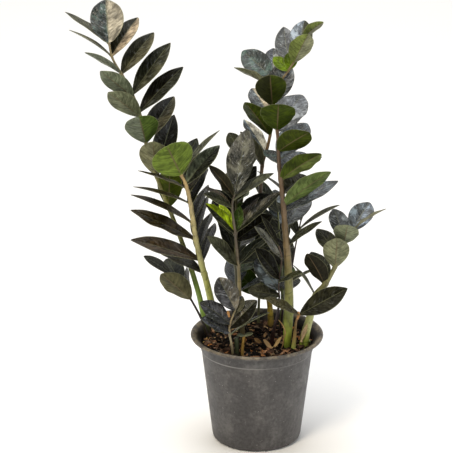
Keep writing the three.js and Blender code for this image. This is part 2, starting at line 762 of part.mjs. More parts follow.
const plant = new THREE.Group();
plant.add(meshOf("pot", potSolid(), potMaterial));
plant.add(meshOf("soil", soilSolid(), soilMaterial));
for (const rhizome of RHIZOMES) plant.add(meshOf(rhizome.name, rhizomeSolid(rhizome), rhizomeMaterial));
for (const frond of SHOOTS) plant.add(meshOf(frond.name, shootSolid(frond), leafMaterial));

export default plant;
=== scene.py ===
import math
from collections import namedtuple

import bpy
import numpy as np
from bpy.props import FloatProperty, FloatVectorProperty, IntProperty, PointerProperty
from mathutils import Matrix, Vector, noise


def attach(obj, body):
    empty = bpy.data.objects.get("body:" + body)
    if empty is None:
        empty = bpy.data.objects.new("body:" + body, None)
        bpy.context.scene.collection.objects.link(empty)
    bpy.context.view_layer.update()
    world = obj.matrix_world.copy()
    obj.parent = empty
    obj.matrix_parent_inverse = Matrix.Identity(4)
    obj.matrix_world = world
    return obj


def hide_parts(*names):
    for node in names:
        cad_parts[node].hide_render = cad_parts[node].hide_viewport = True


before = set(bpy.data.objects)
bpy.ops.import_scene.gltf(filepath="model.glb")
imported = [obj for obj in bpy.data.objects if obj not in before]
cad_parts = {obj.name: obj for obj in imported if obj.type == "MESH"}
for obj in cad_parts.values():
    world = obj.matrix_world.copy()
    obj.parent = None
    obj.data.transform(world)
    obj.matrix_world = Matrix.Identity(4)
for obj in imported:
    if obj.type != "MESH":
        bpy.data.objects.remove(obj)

bl_info = {
    "name": "Potted zz plant",
    "version": (1, 0, 0),
    "blender": (4, 5, 0),
    "location": "3D View > Sidebar > Zz plant",
    "description": "Dresses a potted zz plant: leaflets, stalks, bark compost and a plastic pot",
    "category": "Add Mesh",
}

MM = 0.001
LEAF_UV = "Leaf"  # along the leaflet, and across it
TINT = "tint"  # base colour at a point
DRAW = "draw"  # one seeded number, 0 to 1, for each leaflet or chip
WHITE = (1, 1, 1, 1)

# The pot and its compost, in millimetres, as the solids have them
RIM_RADIUS, POT_HEIGHT, WALL_TOP_RADIUS, WALL = 85, 143, 74, 2
SOIL_TOP, SOIL_RELIEF = 129, 3

# The plant's plan, in millimetres and degrees, as the solids have it. A shoot has its radii at the foot and
# at the tip, the points that its stalk passes, its colours by height, the kinds of its leaflets in order, and
# its rows. foot is the share of its radius that a narrow foot keeps, taper is higher where a stalk is slimmer
# in the middle, and azimuth turns its leaflets' view away from the show side.
STALK_TAPER = 1.2
SHOOT_FIELDS = "name base tip route stalk kinds rows foot taper azimuth"
Shoot = namedtuple("Shoot", SHOOT_FIELDS, defaults=(1, STALK_TAPER, 0))


def row(first, last, count, lean, lift, turn, length, width):
    """Leaflets that change evenly along a stalk, from one place to another, counted in points of its route.

    lean is from upright, clockwise as the show side sees it, lift out of that view towards the viewer, and
    turn the roll about the midrib, 0 with the upper face to the viewer.
    """
    return count, ((first, last), lean, lift, turn, length, width)


def leaflet(*spans):
    return 1, tuple((value, value) for value in spans)


SHOOTS = [
    Shoot(
        "frond_tall_left", 4.2, 1.2,
        [
            (-52, 20, 90), (-65.5, 22, 142), (-75, 27, 186), (-90, 27, 238), (-106, 20, 288),
            (-123, 12, 338), (-137, 4, 385), (-145, -2, 431), (-159, -8, 472), (-177, -14, 507),
            (-182, -18, 530),
        ],
        [
            (135, "#2c1f12"), (160, "#78963a"), (200, "#84a03e"), (230, "#86883f"), (380, "#7a7648"),
            (520, "#86795a"),
        ],
        "teal/beige drab olive olive olive olive moss/olive olive green dark/beige dark/drab dark/drab "
        "night/dark night/drab night dark",
        [
            leaflet(10, -3, -12, 0, 57, 41),
            row(9.95, 9.2, 2, (-49, -51), (-14, -10), (72, 80), (70, 62), (26, 22)),
            leaflet(8.45, -52, 10, 108, 52, 26),
            row(7.6, 7, 2, (-50, -50), (36, 40), (146, 150), (64, 64), (27, 29)),
            leaflet(6.25, -12, 55, 180, 66, 42), leaflet(5.3, -2, 48, 176, 62, 38),
            leaflet(4.37, 3, 32, 172, 62, 32),
            row(9.2, 8.45, 2, (28, 31), (-15, -13), (-35, -35), (62, 68), (29, 31)),
            row(7.72, 7.15, 2, (33, 40), (-12, -10), (-35, -35), (82, 80), (30, 30)),
            row(6.3, 5.25, 2, (30, 11), (-20, -20), (-30, -20), (72, 90), (32, 32)),
            leaflet(4.5, 25, -20, -20, 98, 36),
        ],
    ),
    Shoot(
        "frond_front_left", 6, 1.8,
        [
            (-40, 24, 90), (-48.5, 33, 132), (-54.5, 22, 157), (-63, 2, 205), (-71, -15, 245),
            (-78, -28, 284), (-83, -38, 327), (-89, -42, 356), (-95, -44, 370),
        ],
        [
            (128, "#6d6a3a"), (150, "#8f9a4c"), (215, "#97994f"), (250, "#97945e"), (330, "#a39468"),
            (365, "#a98f5e"),
        ],
        "bright bronze bronze umber bronze umber bronze drab sage/dark bronze night night night night "
        "night",
        [
            leaflet(8, -27, 50, 180, 64, 53),
            row(6.8, 6.1, 2, (-68, -67), (0, 0), (82, 78), (64, 74), (24, 26)),
            leaflet(5.4, -57, 0, 75, 86, 28),
            row(4.85, 4.05, 2, (-61, -68), (5, 5), (62, 55), (90, 92), (32, 35)),
            leaflet(3.5, -58, -10, 60, 74, 30),
            row(7.9, 7, 2, (33, 35), (-10, -10), (-75, -40), (74, 66), (30, 30)),
            row(6.5, 3.9, 6, (16, 9), (-42, -42), (-55, -55), (70, 76), (30, 34)),
        ],
    ),
    Shoot(
        "frond_centre", 3.4, 1.2,
        [
            (-16, -6, 90), (-19, -6, 155), (-22, -9, 192), (-24, -14, 239), (-28, -20, 285),
            (-32, -25, 321), (-29, -26, 338),
        ],
        [(130, "#4e4630"), (170, "#8c8158"), (225, "#8a7e55"), (250, "#5f5646"), (315, "#564e40")],
        "mottled night drab olive/dark umber dark/young mottled/dark young green umber drab dark",
        [
            leaflet(6, 10, 0, -15, 83, 36), leaflet(5.9, -35, 5, 130, 50, 22),
            leaflet(5.5, 48, 10, -60, 60, 25), leaflet(5, -56, 26, 65, 41, 22),
            leaflet(4.9, -33, -14, 60, 46, 18), leaflet(4, -44, 14, 55, 54, 26),
            leaflet(4, 52, 12, -62, 80, 24), leaflet(4.02, -26, -22, 10, 47, 14),
            leaflet(4.01, 10, 4, 0, 34, 14), leaflet(3.98, 27, -20, -60, 60, 20),
            leaflet(3, -43, 32, 50, 62, 24), leaflet(3, 45, 14, -75, 76, 26),
        ],
    ),
    Shoot(
        "frond_tall_right", 9.2, 1.2,
        [
            (36, -17, 92), (38.5, -17, 140), (40, -18, 192), (38.6, -21, 239), (34.3, -24, 291),
            (31, -27, 332), (26, -30, 377), (23, -32, 424), (17, -32, 457), (24, -30, 480), (38, -27, 500),
            (47, -24, 516), (54, -21, 538),
        ],
        [
            # The stop at 160 mm is the foot's own yellow-green, lightened to a painted highlight.
            (125, "#4a5a1c"), (140, "#8a9a38"), (160, "#98a44c"), (200, "#86884a"), (260, "#776645"),
            (330, "#5f4b34"), (420, "#5c4632"), (530, "#7a6a44"),
        ],
        "fern fern/green green green green/umber slate/silver moss moss olive sage/fern sage/fern olive "
        "slate slate drab slate slate silver slate/silver silver/drab dark teal",
        [
            row(4.8, 6.4, 3, (48, 56), (15, 45), (-128, -140), (74, 62), (36, 36)),
            row(7, 7.95, 2, (2, -8), (56, 52), (180, 180), (64, 61), (43, 38)),
            leaflet(8.1, 20, 8, -5, 52, 32), leaflet(9.95, 8, -4, 0, 22, 17),
            leaflet(9.85, -51, -6, 20, 25, 16), leaflet(5.55, 52, -30, -80, 72, 10),
            leaflet(10.5, 24, 35, -150, 44, 30), leaflet(12, 46, 15, -120, 31, 20),
            leaflet(3.55, 47, 0, -72, 54, 24), leaflet(4.1, 35, -40, -30, 68, 34),
            leaflet(4.6, 54, -15, -50, 84, 30),
            row(5.2, 6.2, 3, (50, 35), (-45, -32), (-30, -25), (56, 70), (34, 38)),
            leaflet(6.95, 28, -25, -20, 68, 42), leaflet(10, -7, -25, -10, 62, 27),
            leaflet(10.95, 12, -20, -10, 50, 28), leaflet(5.3, -35, -35, 75, 52, 20),
            leaflet(6.05, -35, -50, 30, 45, 18),
        ],
        foot=0.3, taper=2.8,
    ),
    Shoot(
        "frond_tall_middle", 4.2, 1.2,
        [
            (17, 50, 90), (18.5, 52, 142), (14.5, 46, 184), (8, 36, 255), (4, 32, 304), (6, 29, 357),
            (13, 28, 384), (18, 28, 415), (19, 27, 452), (17, 26, 475),
        ],
        [
            (128, "#4a3320"), (150, "#b09a3c"), (190, "#93803a"), (215, "#4c3826"), (330, "#57432d"),
            (470, "#8b6f4a"),
        ],
        "navy/mottled teal olive slate/beige green slate/beige drab",
        [
            leaflet(9, 3, -40, 0, 54, 22), leaflet(8.95, -49, -16, 12, 53, 32),
            leaflet(8.45, -60, 10, 110, 54, 18), leaflet(7.1, -29, -30, 30, 58, 32),
            leaflet(6.5, -37, 35, 135, 62, 34), leaflet(5.6, -26, -25, 55, 58, 28),
            leaflet(5, -25, 20, 120, 56, 28),
        ],
    ),
    Shoot(
        "frond_short_right", 6.6, 1.1,
        [
            (55.5, -17, 86), (60.5, -17, 141), (66, -20, 168), (73, -24, 201), (85, -27, 219),
            (97, -29, 243), (104, -30, 263), (109, -31, 280), (121, -31, 296),
        ],
        [
            # The pale stop at 160 mm is a painted highlight band on the green foot.
            (125, "#5e6a20"), (140, "#8f9c3c"), (160, "#b3b478"), (180, "#8f9658"), (215, "#6c6a40"),
            (290, "#7b7a55"),
        ],
        "olive slate/silver olive slate dark olive dark dark olive",
        [
            leaflet(8, 50, 15, -105, 46, 22), leaflet(7.7, 28, -26, -15, 54, 30),
            leaflet(6.75, 8, 58, 180, 44, 32), leaflet(6.95, -15, -30, 25, 50, 27),
            leaflet(5.6, -30, -26, 35, 52, 29), leaflet(5, 4, 40, 180, 50, 33),
            leaflet(4.1, -20, -30, 30, 52, 28), leaflet(4, -26, 25, 140, 54, 28),
            leaflet(3.05, -29, 0, 78, 48, 20),
        ],
    ),
    Shoot(
        "frond_low_right", 5.8, 1.3,
        [(41.5, -26, 92), (47, -25, 140), (49, -31, 170), (53, -37, 182)],
        [(128, "#8a9a4a"), (146, "#8f7a4c"), (182, "#8a6b45")],
        "dark drab",
        [leaflet(3, 55, 10, -10, 70, 29), leaflet(3, -57, 10, 65, 50, 22)],
        taper=3,
    ),
    Shoot(
        "frond_short_front", 1.8, 1,
        [(-26, -36, 90), (-32.5, -50, 145), (-35, -50, 160), (-34.5, -51, 175), (-28, -50, 193)],
        [(128, "#6b6245"), (150, "#a3987a"), (175, "#8f7f60"), (198, "#77704f")],
        "navy/mottled navy/drab navy mottled/night navy olive",
        [
            leaflet(4, -26, -10, 15, 47, 30), leaflet(3.7, 25, -10, -20, 26, 16),
            leaflet(3, -47, 10, 45, 46, 30), leaflet(2.6, 33, 15, -34, 50, 27),
            leaflet(2.2, -52, 30, 60, 46, 26), leaflet(2, 50, 10, -85, 58, 24),
        ],
    ),
    Shoot(
        "frond_low_left", 2.2, 0.9,
        [(-53, 12, 90), (-63, 10, 133), (-70, 13, 153), (-85, 19, 181), (-98, 23, 200), (-110, 25, 213)],
        [(128, "#241a15"), (213, "#1d1713")],
        "dark dark drab night",
        [
            leaflet(5, -52, 0, 60, 42, 26), leaflet(4, -27, -30, 20, 46, 28),
            leaflet(3, -46, 22, 150, 55, 34), leaflet(3.1, -5, -30, -60, 46, 26),
        ],
    ),
    Shoot(
        "frond_thin_centre", 5, 0.9,
        [(13, 5, 90), (20.5, -12, 145), (27.5, -14, 186), (27, -26, 219), (30, -35, 256), (26, -37, 274)],
        [(128, "#3a2420"), (180, "#2a1a1c"), (274, "#4a3a2c")],
        "night night mottled night olive slate drab",
        [
            leaflet(5, -27, 0, 60, 44, 14), leaflet(4.6, -2, -30, -20, 40, 20),
            leaflet(4, -36, 0, 70, 60, 24), leaflet(3.2, -34, 8, 50, 54, 28),
            leaflet(3.1, 60, 14, -75, 44, 20), leaflet(2.7, -34, -10, 30, 50, 30),
            leaflet(2.4, -75, 0, 40, 40, 24),
        ],
        taper=4,
    ),
    Shoot(
        "frond_thin_right", 1.5, 0.9,
        [(27, 34, 90), (32.5, 30, 150), (38, 30, 196), (45, 30, 222), (50, 30, 254), (56, 30, 285)],
        [(128, "#2a1a1c"), (285, "#403330")],
        "dark olive dark night dark olive",
        [
            leaflet(5, -14, -40, -10, 52, 26), leaflet(4.6, 52, 10, -80, 60, 24),
            row(4.3, 3, 2, (-25, -30), (-10, -10), (50, 50), (52, 52), (26, 26)),
            leaflet(1.8, 20, -55, -20, 42, 28), leaflet(2, 56, 0, -80, 44, 20),
        ],
    ),
    Shoot(
        "frond_dark_middle", 3, 1.1,
        [
            (-18, 12, 90), (-23, 22, 158), (-27, 20, 229), (-27, 18, 275), (-27, 16, 316), (-24, 14, 352),
            (-21, 13, 379),
        ],
        [(128, "#33301e"), (250, "#4a4a2c"), (379, "#55502f")],
        "olive dark night green dark dark night dark dark night night night",
        [
            leaflet(6, -28, -20, 10, 32, 20), leaflet(5.2, 18, -10, -30, 40, 20),
            leaflet(3.2, -16, 20, 30, 38, 16), leaflet(3.22, 14, 20, -20, 30, 14),
            row(2.2, 4, 4, (-42, -28), (0, 0), (40, 40), (60, 42), (32, 26)),
            row(2, 4, 4, (42, 26), (0, 0), (-40, -40), (60, 50), (32, 26)),
        ],
    ),
    Shoot(
        "frond_back_left", 3.2, 1.1,
        [(-11, 46, 90), (-22, 58, 160), (-30, 82, 230), (-36, 104, 300)],
        [(128, "#4d5a2c"), (300, "#66683c")],
        "dark slate dark green dark dark slate green dark dark green",
        [
            leaflet(3, 10, -10, 0, 56, 34),
            row(1.3, 2.8, 5, (-58, -40), (0, 0), (40, 40), (64, 54), (34, 30)),
            row(1.2, 2.7, 5, (62, 50), (0, 0), (-40, -40), (64, 54), (34, 30)),
        ],
        azimuth=-75,
    ),
    Shoot(
        "frond_back_right", 3.2, 1.1,
        [(29, 46, 90), (34, 56, 160), (31, 77, 220), (28, 98, 272)],
        [(128, "#4d5a2c"), (272, "#66683c")],
        "dark green dark slate dark green dark dark slate",
        [
            leaflet(3, -10, -10, 0, 54, 34),
            row(1.3, 2.8, 4, (-62, -50), (0, 0), (40, 40), (62, 52), (34, 30)),
            row(1.2, 2.7, 4, (58, 40), (0, 0), (-40, -40), (62, 52), (34, 30)),
        ],
        azimuth=70,
    ),
    Shoot(
        "frond_back_low", 2.4, 1,
        [(3, 50, 90), (3, 63, 146), (6, 94, 190), (8, 118, 215)],
        [(128, "#50512c"), (215, "#5c5a36")],
        "dark green dark dark green dark dark",
        [
            leaflet(3, 0, 30, 180, 50, 30),
            row(1.5, 2.7, 3, (-60, -45), (30, 30), (140, 140), (54, 48), (30, 28)),
            row(1.4, 2.6, 3, (60, 45), (30, 30), (-140, -140), (54, 48), (30, 28)),
        ],
        azimuth=170,
    ),
    Shoot(
        "stub_tan", 2.4, 1.6,
        [(-13, -36, 90), (-18.8, -45, 130), (-17, -45, 156)],
        [(128, "#6f5a2e"), (156, "#a8853f")],
        "sage sage",
        [leaflet(2, -74, 5, 60, 9, 7), leaflet(2, 66, 5, -60, 12, 8)],
    ),
    Shoot(
        "stub_dark", 3.6, 2.8,
        [(-22, -33, 90), (-25.5, -42.5, 130), (-26, -42, 153)],
        [(128, "#2b3020"), (153, "#39442a")],
        "",
        [],
    ),
    Shoot(
        "stub_right", 2.2, 1.8,
        [(50, -2, 90), (62, -6, 127), (67.5, -8, 134)],
        [(128, "#5e6f30"), (134, "#7a8a44")],
        "",
        [],
    ),
]

LEAFLET_SEED = 4711
LEAN_SPREAD, LIFT_SPREAD, TURN_SPREAD = 4, 6, 8  # degrees over which the leaflets of a row differ
LEAST_FOLD, FOLD_SPREAD = 0.12, 0.14  # rise of a blade's sides for each millimetre from the midrib
LEAST_ARCH, ARCH_SPREAD = 0.05, 0.1  # drop of a blade's tip, as a share of its length
FOOT_REACH = 1.9  # how far up its route a stalk with a narrow foot swells
CLEARANCE = 2.6  # least gap between a leaflet and another frond
OWN_CLEARANCE = 1.4  # and between two leaflets of one frond
NEAR_ROOT = 0.25  # part of a leaflet that may lie close to its neighbours of the same frond
ROOT_HALF_WIDTH = 1.3
BLADE_FULLNESS = 1.1  # higher is widest nearer to the tip
SLIM_BLUNTNESS, BROAD_BLUNTING = 0.95, 0.6  # broad leaflets have blunter tips than slim ones
SAMPLES_ALONG, SAMPLES_ACROSS = 14, 4
SWING_STEP, SWING_RINGS, SWING_DIRECTIONS = 7, 6, 8
STALK_SAMPLES = 14
RIM_MARGIN = 3
VIEW_PITCH = math.radians(19.65)  # the show side is looked at from a little above
RIGHT = np.array([1.0, 0.0, 0.0])
FRONT = np.array([0.0, -math.cos(VIEW_PITCH), math.sin(VIEW_PITCH)])
UP = np.cross(FRONT, RIGHT)
DRAW_FACTOR, DRAW_LIMIT = 16807, 2147483647


def seeded_draw(seed):
    state = [seed]

    def draw():
        state[0] = state[0] * DRAW_FACTOR % DRAW_LIMIT
        return state[0] / DRAW_LIMIT

    return draw


def smooth_step(value, low, high):
    part = np.clip((np.asarray(value, float) - low) / (high - low), 0, 1)
    return part * part * (3 - 2 * part)


def route_point(route, at):
    """The place on the smooth curve through a route, counted in its points."""
    points = np.array(route, float)
    last = len(points) - 1
    first = min(int(at), last - 1)
    part = at - first
    a, b = points[first], points[first + 1]
    before = points[first - 1] if first > 0 else 2 * a - b
    after = points[first + 2] if first + 2 <= last else 2 * b - a
    leave, arrive = (b - before) / 2, (after - a) / 2
    square, cube = part * part, part**3
    bend = (3 * b - 3 * a - 2 * leave - arrive) * square
    return a + leave * part + bend + (2 * a - 2 * b + leave + arrive) * cube


def stalk_radius(shoot, at):
    left = max(0.0, 1 - at / (len(shoot.route) - 1))
    narrowed = (1 - shoot.foot) * (1 - smooth_step(at, 0, FOOT_REACH))
    return (shoot.tip + (shoot.base - shoot.tip) * left**shoot.taper) * (1 - narrowed)


def turned(direction, degrees):
    turn = math.radians(degrees)
    x, y, z = direction
    return np.array([x * math.cos(turn) - y * math.sin(turn), x * math.sin(turn) + y * math.cos(turn), z])


class Blade:
    """One leaflet: its root, its frame and its form, in millimetres."""

    def __init__(self, shoot, root, view, turn, length, width, fold, arch, kind):
        self.shoot, self.root, self.view, self.kind = shoot, np.asarray(root, float), view, kind
        self.turn, self.length, self.width, self.fold, self.arch = turn, length, width, fold, arch

    def aim(self, lean, lift):
        right, up, front = self.view
        lean, lift, turn = math.radians(lean), math.radians(lift), math.radians(self.turn)
        flatwise = math.cos(lift)
        self.along = right * math.sin(lean) * flatwise + up * math.cos(lean) * flatwise
        self.along = self.along + front * math.sin(lift)
        flat = front - self.along * front.dot(self.along)
        flat /= np.linalg.norm(flat)
        self.out = flat * math.cos(turn) + np.cross(self.along, flat) * math.sin(turn)
        self.across = np.cross(self.along, self.out)

    def half_width(self, s):
        bluntness = SLIM_BLUNTNESS - BROAD_BLUNTING * self.width / self.length
        swell = np.sin(np.pi * np.clip(s, 0, 1) ** BLADE_FULLNESS).clip(0) ** bluntness
        return np.maximum(ROOT_HALF_WIDTH * (1 - s), self.width / 2 * swell)

    def rise(self, s, reach):
        return self.fold * np.abs(reach) - self.arch * self.length * s * s

    def points(self, s, reach, rise):
        s, reach, rise = (np.asarray(v, float)[..., None] for v in (s, reach, rise))
        return self.root + self.along * (self.length * s) + self.across * reach + self.out * rise

    def near(self, points, gap, start=0.0):
        """Which points lie within a gap of the blade."""
        offset = points - self.root
        s = offset @ self.along / self.length
        reach = offset @ self.across
        inside = (s >= start) & (s <= 1 + gap / self.length) & (np.abs(reach) <= self.half_width(s) + gap)
        return inside & (np.abs(offset @ self.out - self.rise(s, reach)) < gap)

    def sample(self):
        along = np.arange(1, SAMPLES_ALONG + 1) / SAMPLES_ALONG
        across = np.arange(-SAMPLES_ACROSS, SAMPLES_ACROSS + 1) / SAMPLES_ACROSS
        s, side = np.meshgrid(along, across, indexing="ij")
        reach = side * self.half_width(s)
        self.stations = s.ravel()
        self.samples = self.points(s, reach, self.rise(s, reach)).reshape(-1, 3)
        self.middle = self.points(0.5, 0, self.rise(0.5, 0))


def blades_clash(a, b, gap, start):
    if np.linalg.norm(a.middle - b.middle) > (a.length + b.length) / 2 + (a.width + b.width) / 4:
        return False
    if b.near(a.samples[a.stations > start], gap, start).any():
        return True
    return a.near(b.samples[b.stations > start], gap, start).any()


def is_clear(blade, placed, stalks):
    radial = np.hypot(blade.samples[:, 0], blade.samples[:, 1])
    height = blade.samples[:, 2]
    by_pot = (radial <= RIM_RADIUS + RIM_MARGIN) & (height <= POT_HEIGHT + RIM_MARGIN)
    in_wall = radial > WALL_TOP_RADIUS - RIM_MARGIN - WALL
    if (by_pot & (in_wall | (height < SOIL_TOP + SOIL_RELIEF + 1))).any():
        return False
    for other in placed:
        own = other.shoot == blade.shoot
        if blades_clash(blade, other, OWN_CLEARANCE if own else CLEARANCE, NEAR_ROOT if own else 0.0):
            return False
    others = [(points, radii) for name, points, radii in stalks if name != blade.shoot]
    return not any(blade.near(points, radii + CLEARANCE / 2).any() for points, radii in others)


def swings():
    yield 0.0, 0.0
    for ring in range(1, SWING_RINGS + 1):
        for k in range(SWING_DIRECTIONS):
            angle = 2 * math.pi * k / SWING_DIRECTIONS
            yield ring * SWING_STEP * math.cos(angle), ring * SWING_STEP * math.sin(angle)


def along_stalk(shoot, steps):
    """The stalk's points and radii, with so many steps for each stretch of its route."""
    places = np.arange((len(shoot.route) - 1) * steps + 1) / steps
    points = np.array([route_point(shoot.route, at) for at in places])
    return points, np.array([stalk_radius(shoot, at) for at in places])


def place_leaflets():
    """Every leaflet, each swung about its root in small steps until it is clear of the others."""
    draw = seeded_draw(LEAFLET_SEED)
    stalks = [(shoot.name, *along_stalk(shoot, STALK_SAMPLES)) for shoot in SHOOTS]
    placed = []
    for shoot in SHOOTS:
        view = [turned(direction, shoot.azimuth) for direction in (RIGHT, UP, FRONT)]
        kinds = iter(shoot.kinds.split())
        for count, spans in shoot.rows:
            for i in range(count):
                part = i / (count - 1) if count > 1 else 0
                at, lean, lift, turn, long, wide = (first + (last - first) * part for first, last in spans)
                lean += LEAN_SPREAD * (draw() - 0.5)
                lift += LIFT_SPREAD * (draw() - 0.5)
                turn += TURN_SPREAD * (draw() - 0.5)
                fold = LEAST_FOLD + FOLD_SPREAD * draw()
                arch = LEAST_ARCH + ARCH_SPREAD * draw()
                root = route_point(shoot.route, at)
                blade = Blade(shoot.name, root, view, turn, long, wide, fold, arch, next(kinds))
                for more_lean, more_lift in swings():
                    blade.aim(lean + more_lean, lift + more_lift)
                    blade.sample()
                    if is_clear(blade, placed, stalks):
                        placed.append(blade)
                        break
    return placed


# Finishes


def linear(code):
    """A colour written as #rrggbb, as linear light with full cover."""
    parts = [int(code[k : k + 2], 16) / 255 for k in (1, 3, 5)]
    return (*(c / 12.92 if c <= 0.04045 else ((c + 0.055) / 1.055) ** 2.4 for c in parts), 1.0)


def colour(name, code, told):
    kind = {"subtype": "COLOR", "size": 4, "min": 0, "max": 1}
    return FloatVectorProperty(name=name, description=told, default=linear(code), **kind)


def length(name, size, told):
    return FloatProperty(name=name, description=told, unit="LENGTH", min=0, default=size * MM)


class Finish:
    """A material whose base colour and bumps are laid on one after the other."""

    def __init__(self, name, roughness=0.5, specular=0.5):
        self.material = bpy.data.materials.new(name)
        self.material.use_nodes = True
        self.tree = self.material.node_tree
        self.shader = self.tree.nodes["Principled BSDF"]
        self.shader.inputs["Roughness"].default_value = roughness
        self.shader.inputs["Specular IOR Level"].default_value = specular
        self.base = self.normal = None

    def put(self, value, socket):
        if isinstance(value, bpy.types.NodeSocket):
            self.tree.links.new(value, socket)
        else:
            socket.default_value = value

    def node(self, kind, inputs=(), output=0, **settings):
        made = self.tree.nodes.new(kind)
        for key, value in settings.items():
            setattr(made, key, value)
        for key, value in dict(inputs).items():
            self.put(value, made.inputs[key])
        return made.outputs[output]

    def maths(self, operation, *values):
        return self.node("ShaderNodeMath", enumerate(values), operation=operation)

    def times(self, first, second):
        return self.maths("MULTIPLY", first, second)

    def mix(self, share, first, second, blend="MIX"):
        inputs = {0: share, 6: first, 7: second}
        return self.node("ShaderNodeMix", inputs, output=2, data_type="RGBA", blend_type=blend)

    def step(self, value, low, high, start=0.0, end=1.0):
        inputs = {0: value, 1: low, 2: high, 3: start, 4: end}
        return self.node("ShaderNodeMapRange", inputs, interpolation_type="SMOOTHSTEP")

    def place(self, axis=None):
        point = self.node("ShaderNodeTexCoord", output="Object")
        return point if axis is None else self.node("ShaderNodeSeparateXYZ", {0: point}, output=axis)

    def leaf_place(self):
        return self.node("ShaderNodeUVMap", uv_map=LEAF_UV)

    def stretched(self, vector, *sizes):
        return self.node("ShaderNodeVectorMath", {0: vector, 1: sizes}, operation="MULTIPLY")

    def noise(self, scale, detail=3.0, roughness=0.5, vector=None):
        inputs = {"Scale": scale, "Detail": detail, "Roughness": roughness}
        return self.node("ShaderNodeTexNoise", {"Vector": vector or self.place(), **inputs})

    def drawn_out(self, scale, high, detail=3.0, roughness=0.5):
        """Noise that is drawn out upright, where high is under 1."""
        return self.noise(scale, detail, roughness, self.stretched(self.place(), 1.0, 1.0, high))

    def cells(self, scale, output="Distance"):
        return self.node("ShaderNodeTexVoronoi", {"Vector": self.place(), "Scale": scale}, output=output)

    def specks(self, scale, high, spread, low, full, share):
        """Small round marks, gathered in places."""
        marks = self.step(self.cells(scale), 0.05, high, 1.0, 0.0)
        return self.times(marks, self.step(self.noise(spread, 2.0), low, full, 0.0, share))

    def read(self, name, output="Color"):
        return self.node("ShaderNodeAttribute", output=output, attribute_name=name)

    def scaled(self, tone, low, high, base):
        """A colour made darker and lighter by a pattern."""
        share = self.step(tone, 0.33, 0.67, low, high)
        grey = self.node("ShaderNodeCombineColor", {0: share, 1: share, 2: share})
        return self.mix(1.0, base, grey, "MULTIPLY")

    def shade(self, tone, low, high):
        self.base = self.scaled(tone, low, high, self.base)

    def cover(self, share, tone):
        self.base = self.mix(share, self.base, tone)

    def bump(self, height, distance, strength=1.0):
        inputs = {"Strength": strength, "Distance": distance * MM, "Height": height}
        if self.normal:
            inputs["Normal"] = self.normal
        self.normal = self.node("ShaderNodeBump", inputs)

    def done(self, roughness=None):
        self.put(self.base, self.shader.inputs["Base Color"])
        self.put(self.normal, self.shader.inputs["Normal"])
        if roughness:
            self.put(roughness, self.shader.inputs["Roughness"])
        return self.material


VEIN_SLANT = 0.2  # how far a side vein runs towards the tip by the margin, as a share of the leaflet


def leaf_pattern(finish, veins):
    """Side veins that leave the midrib and slant to the tip, and the wrinkles that follow them.

    Gives how near each point is to a vein, its reach from the midrib and the wrinkles' height, all 0 to 1.
    """
    along, side = (finish.node("ShaderNodeSeparateXYZ", {0: finish.leaf_place()}, output=k) for k in (0, 1))
    reach = finish.maths("ABSOLUTE", finish.maths("MULTIPLY_ADD", side, 2.0, -1.0))
    own = finish.read(DRAW, "Fac")
    lag = finish.times(finish.maths("POWER", reach, 1.4), VEIN_SLANT)
    wander = finish.times(finish.noise(55.0, 2.0), 1.8)
    phase = finish.maths("MULTIPLY_ADD", finish.maths("SUBTRACT", along, lag), veins, wander)
    other_half = finish.times(finish.maths("GREATER_THAN", side, 0.5), 0.43)
    phase = finish.maths("ADD", finish.maths("ADD", phase, other_half), own)
    between = finish.times(finish.maths("PINGPONG", phase, 0.5), 2.0)
    along_veins = finish.node("ShaderNodeCombineXYZ", {0: phase, 1: finish.times(side, 2.4), 2: own})
    return between, reach, finish.noise(2.0, 4.0, 0.6, along_veins)


def leaf_upper_finish(look, name, gloss, contrast, relief, margin, bloom):
    """Waxy skin: a pale midrib groove, faint side veins, wrinkles that break the shine, some dust, and
    painted light: painted highlight and shade along the wrinkles, lighter and darker patches, and silvery
    painted highlights on the highest wrinkles.
    """
    finish = Finish(name, specular=gloss)
    between, reach, wrinkle = leaf_pattern(finish, look.veins)
    finish.base = finish.read(TINT)
    finish.shade(finish.noise(85.0, 4.0), 1 - contrast, 1 + contrast)
    # The wrinkles make the tint lighter and darker: painted highlight and shade along them.
    finish.shade(wrinkle, 1 - contrast, 1 + contrast)
    # Patches: a lighter copy of the leaflet's own tint is a painted highlight, and the dark colour is painted
    # shade; bloom is how much of each is laid on.
    painted_light_patch = finish.drawn_out(76.0, 0.7, 3.0, 0.55)
    pale = finish.scaled(painted_light_patch, 2.0, 4.6, finish.read(TINT))
    finish.cover(finish.step(painted_light_patch, 0.53, 0.62, 0.0, bloom), pale)
    finish.cover(finish.step(painted_light_patch, 0.49, 0.4, 0.0, bloom), look.dark_margin_and_shade)
    # Silvery streaks on the highest wrinkles: a painted highlight.
    finish.cover(finish.step(wrinkle, 0.58, 0.68, 0.0, bloom * 0.6), look.painted_sheen)
    vein = finish.step(between, 0.0, 0.14, 0.4, 0.0)
    finish.cover(finish.times(vein, finish.step(finish.noise(60.0), 0.4, 0.6)), look.vein_upper)
    finish.cover(finish.step(reach, 0.01, 0.05, 0.75, 0.0), look.rib_upper)
    finish.cover(finish.step(reach, 0.93, 1.0, 0.0, 0.7), margin)
    finish.cover(finish.specks(420.0, 0.11, 130.0, 0.6, 0.66, 0.6), look.dust)
    finish.bump(wrinkle, relief, 0.8)
    finish.bump(finish.times(finish.step(between, 0.0, 0.9), finish.step(reach, 0.03, 0.25)), 0.3, 0.25)
    finish.bump(finish.noise(230.0, 4.0, 0.6), 0.3, 0.4)
    shine = finish.maths("MULTIPLY_ADD", wrinkle, 0.6, finish.times(finish.noise(95.0, 3.0), 0.4))
    return finish.done(finish.step(shine, 0.36, 0.62, look.gloss_low, look.gloss_high))


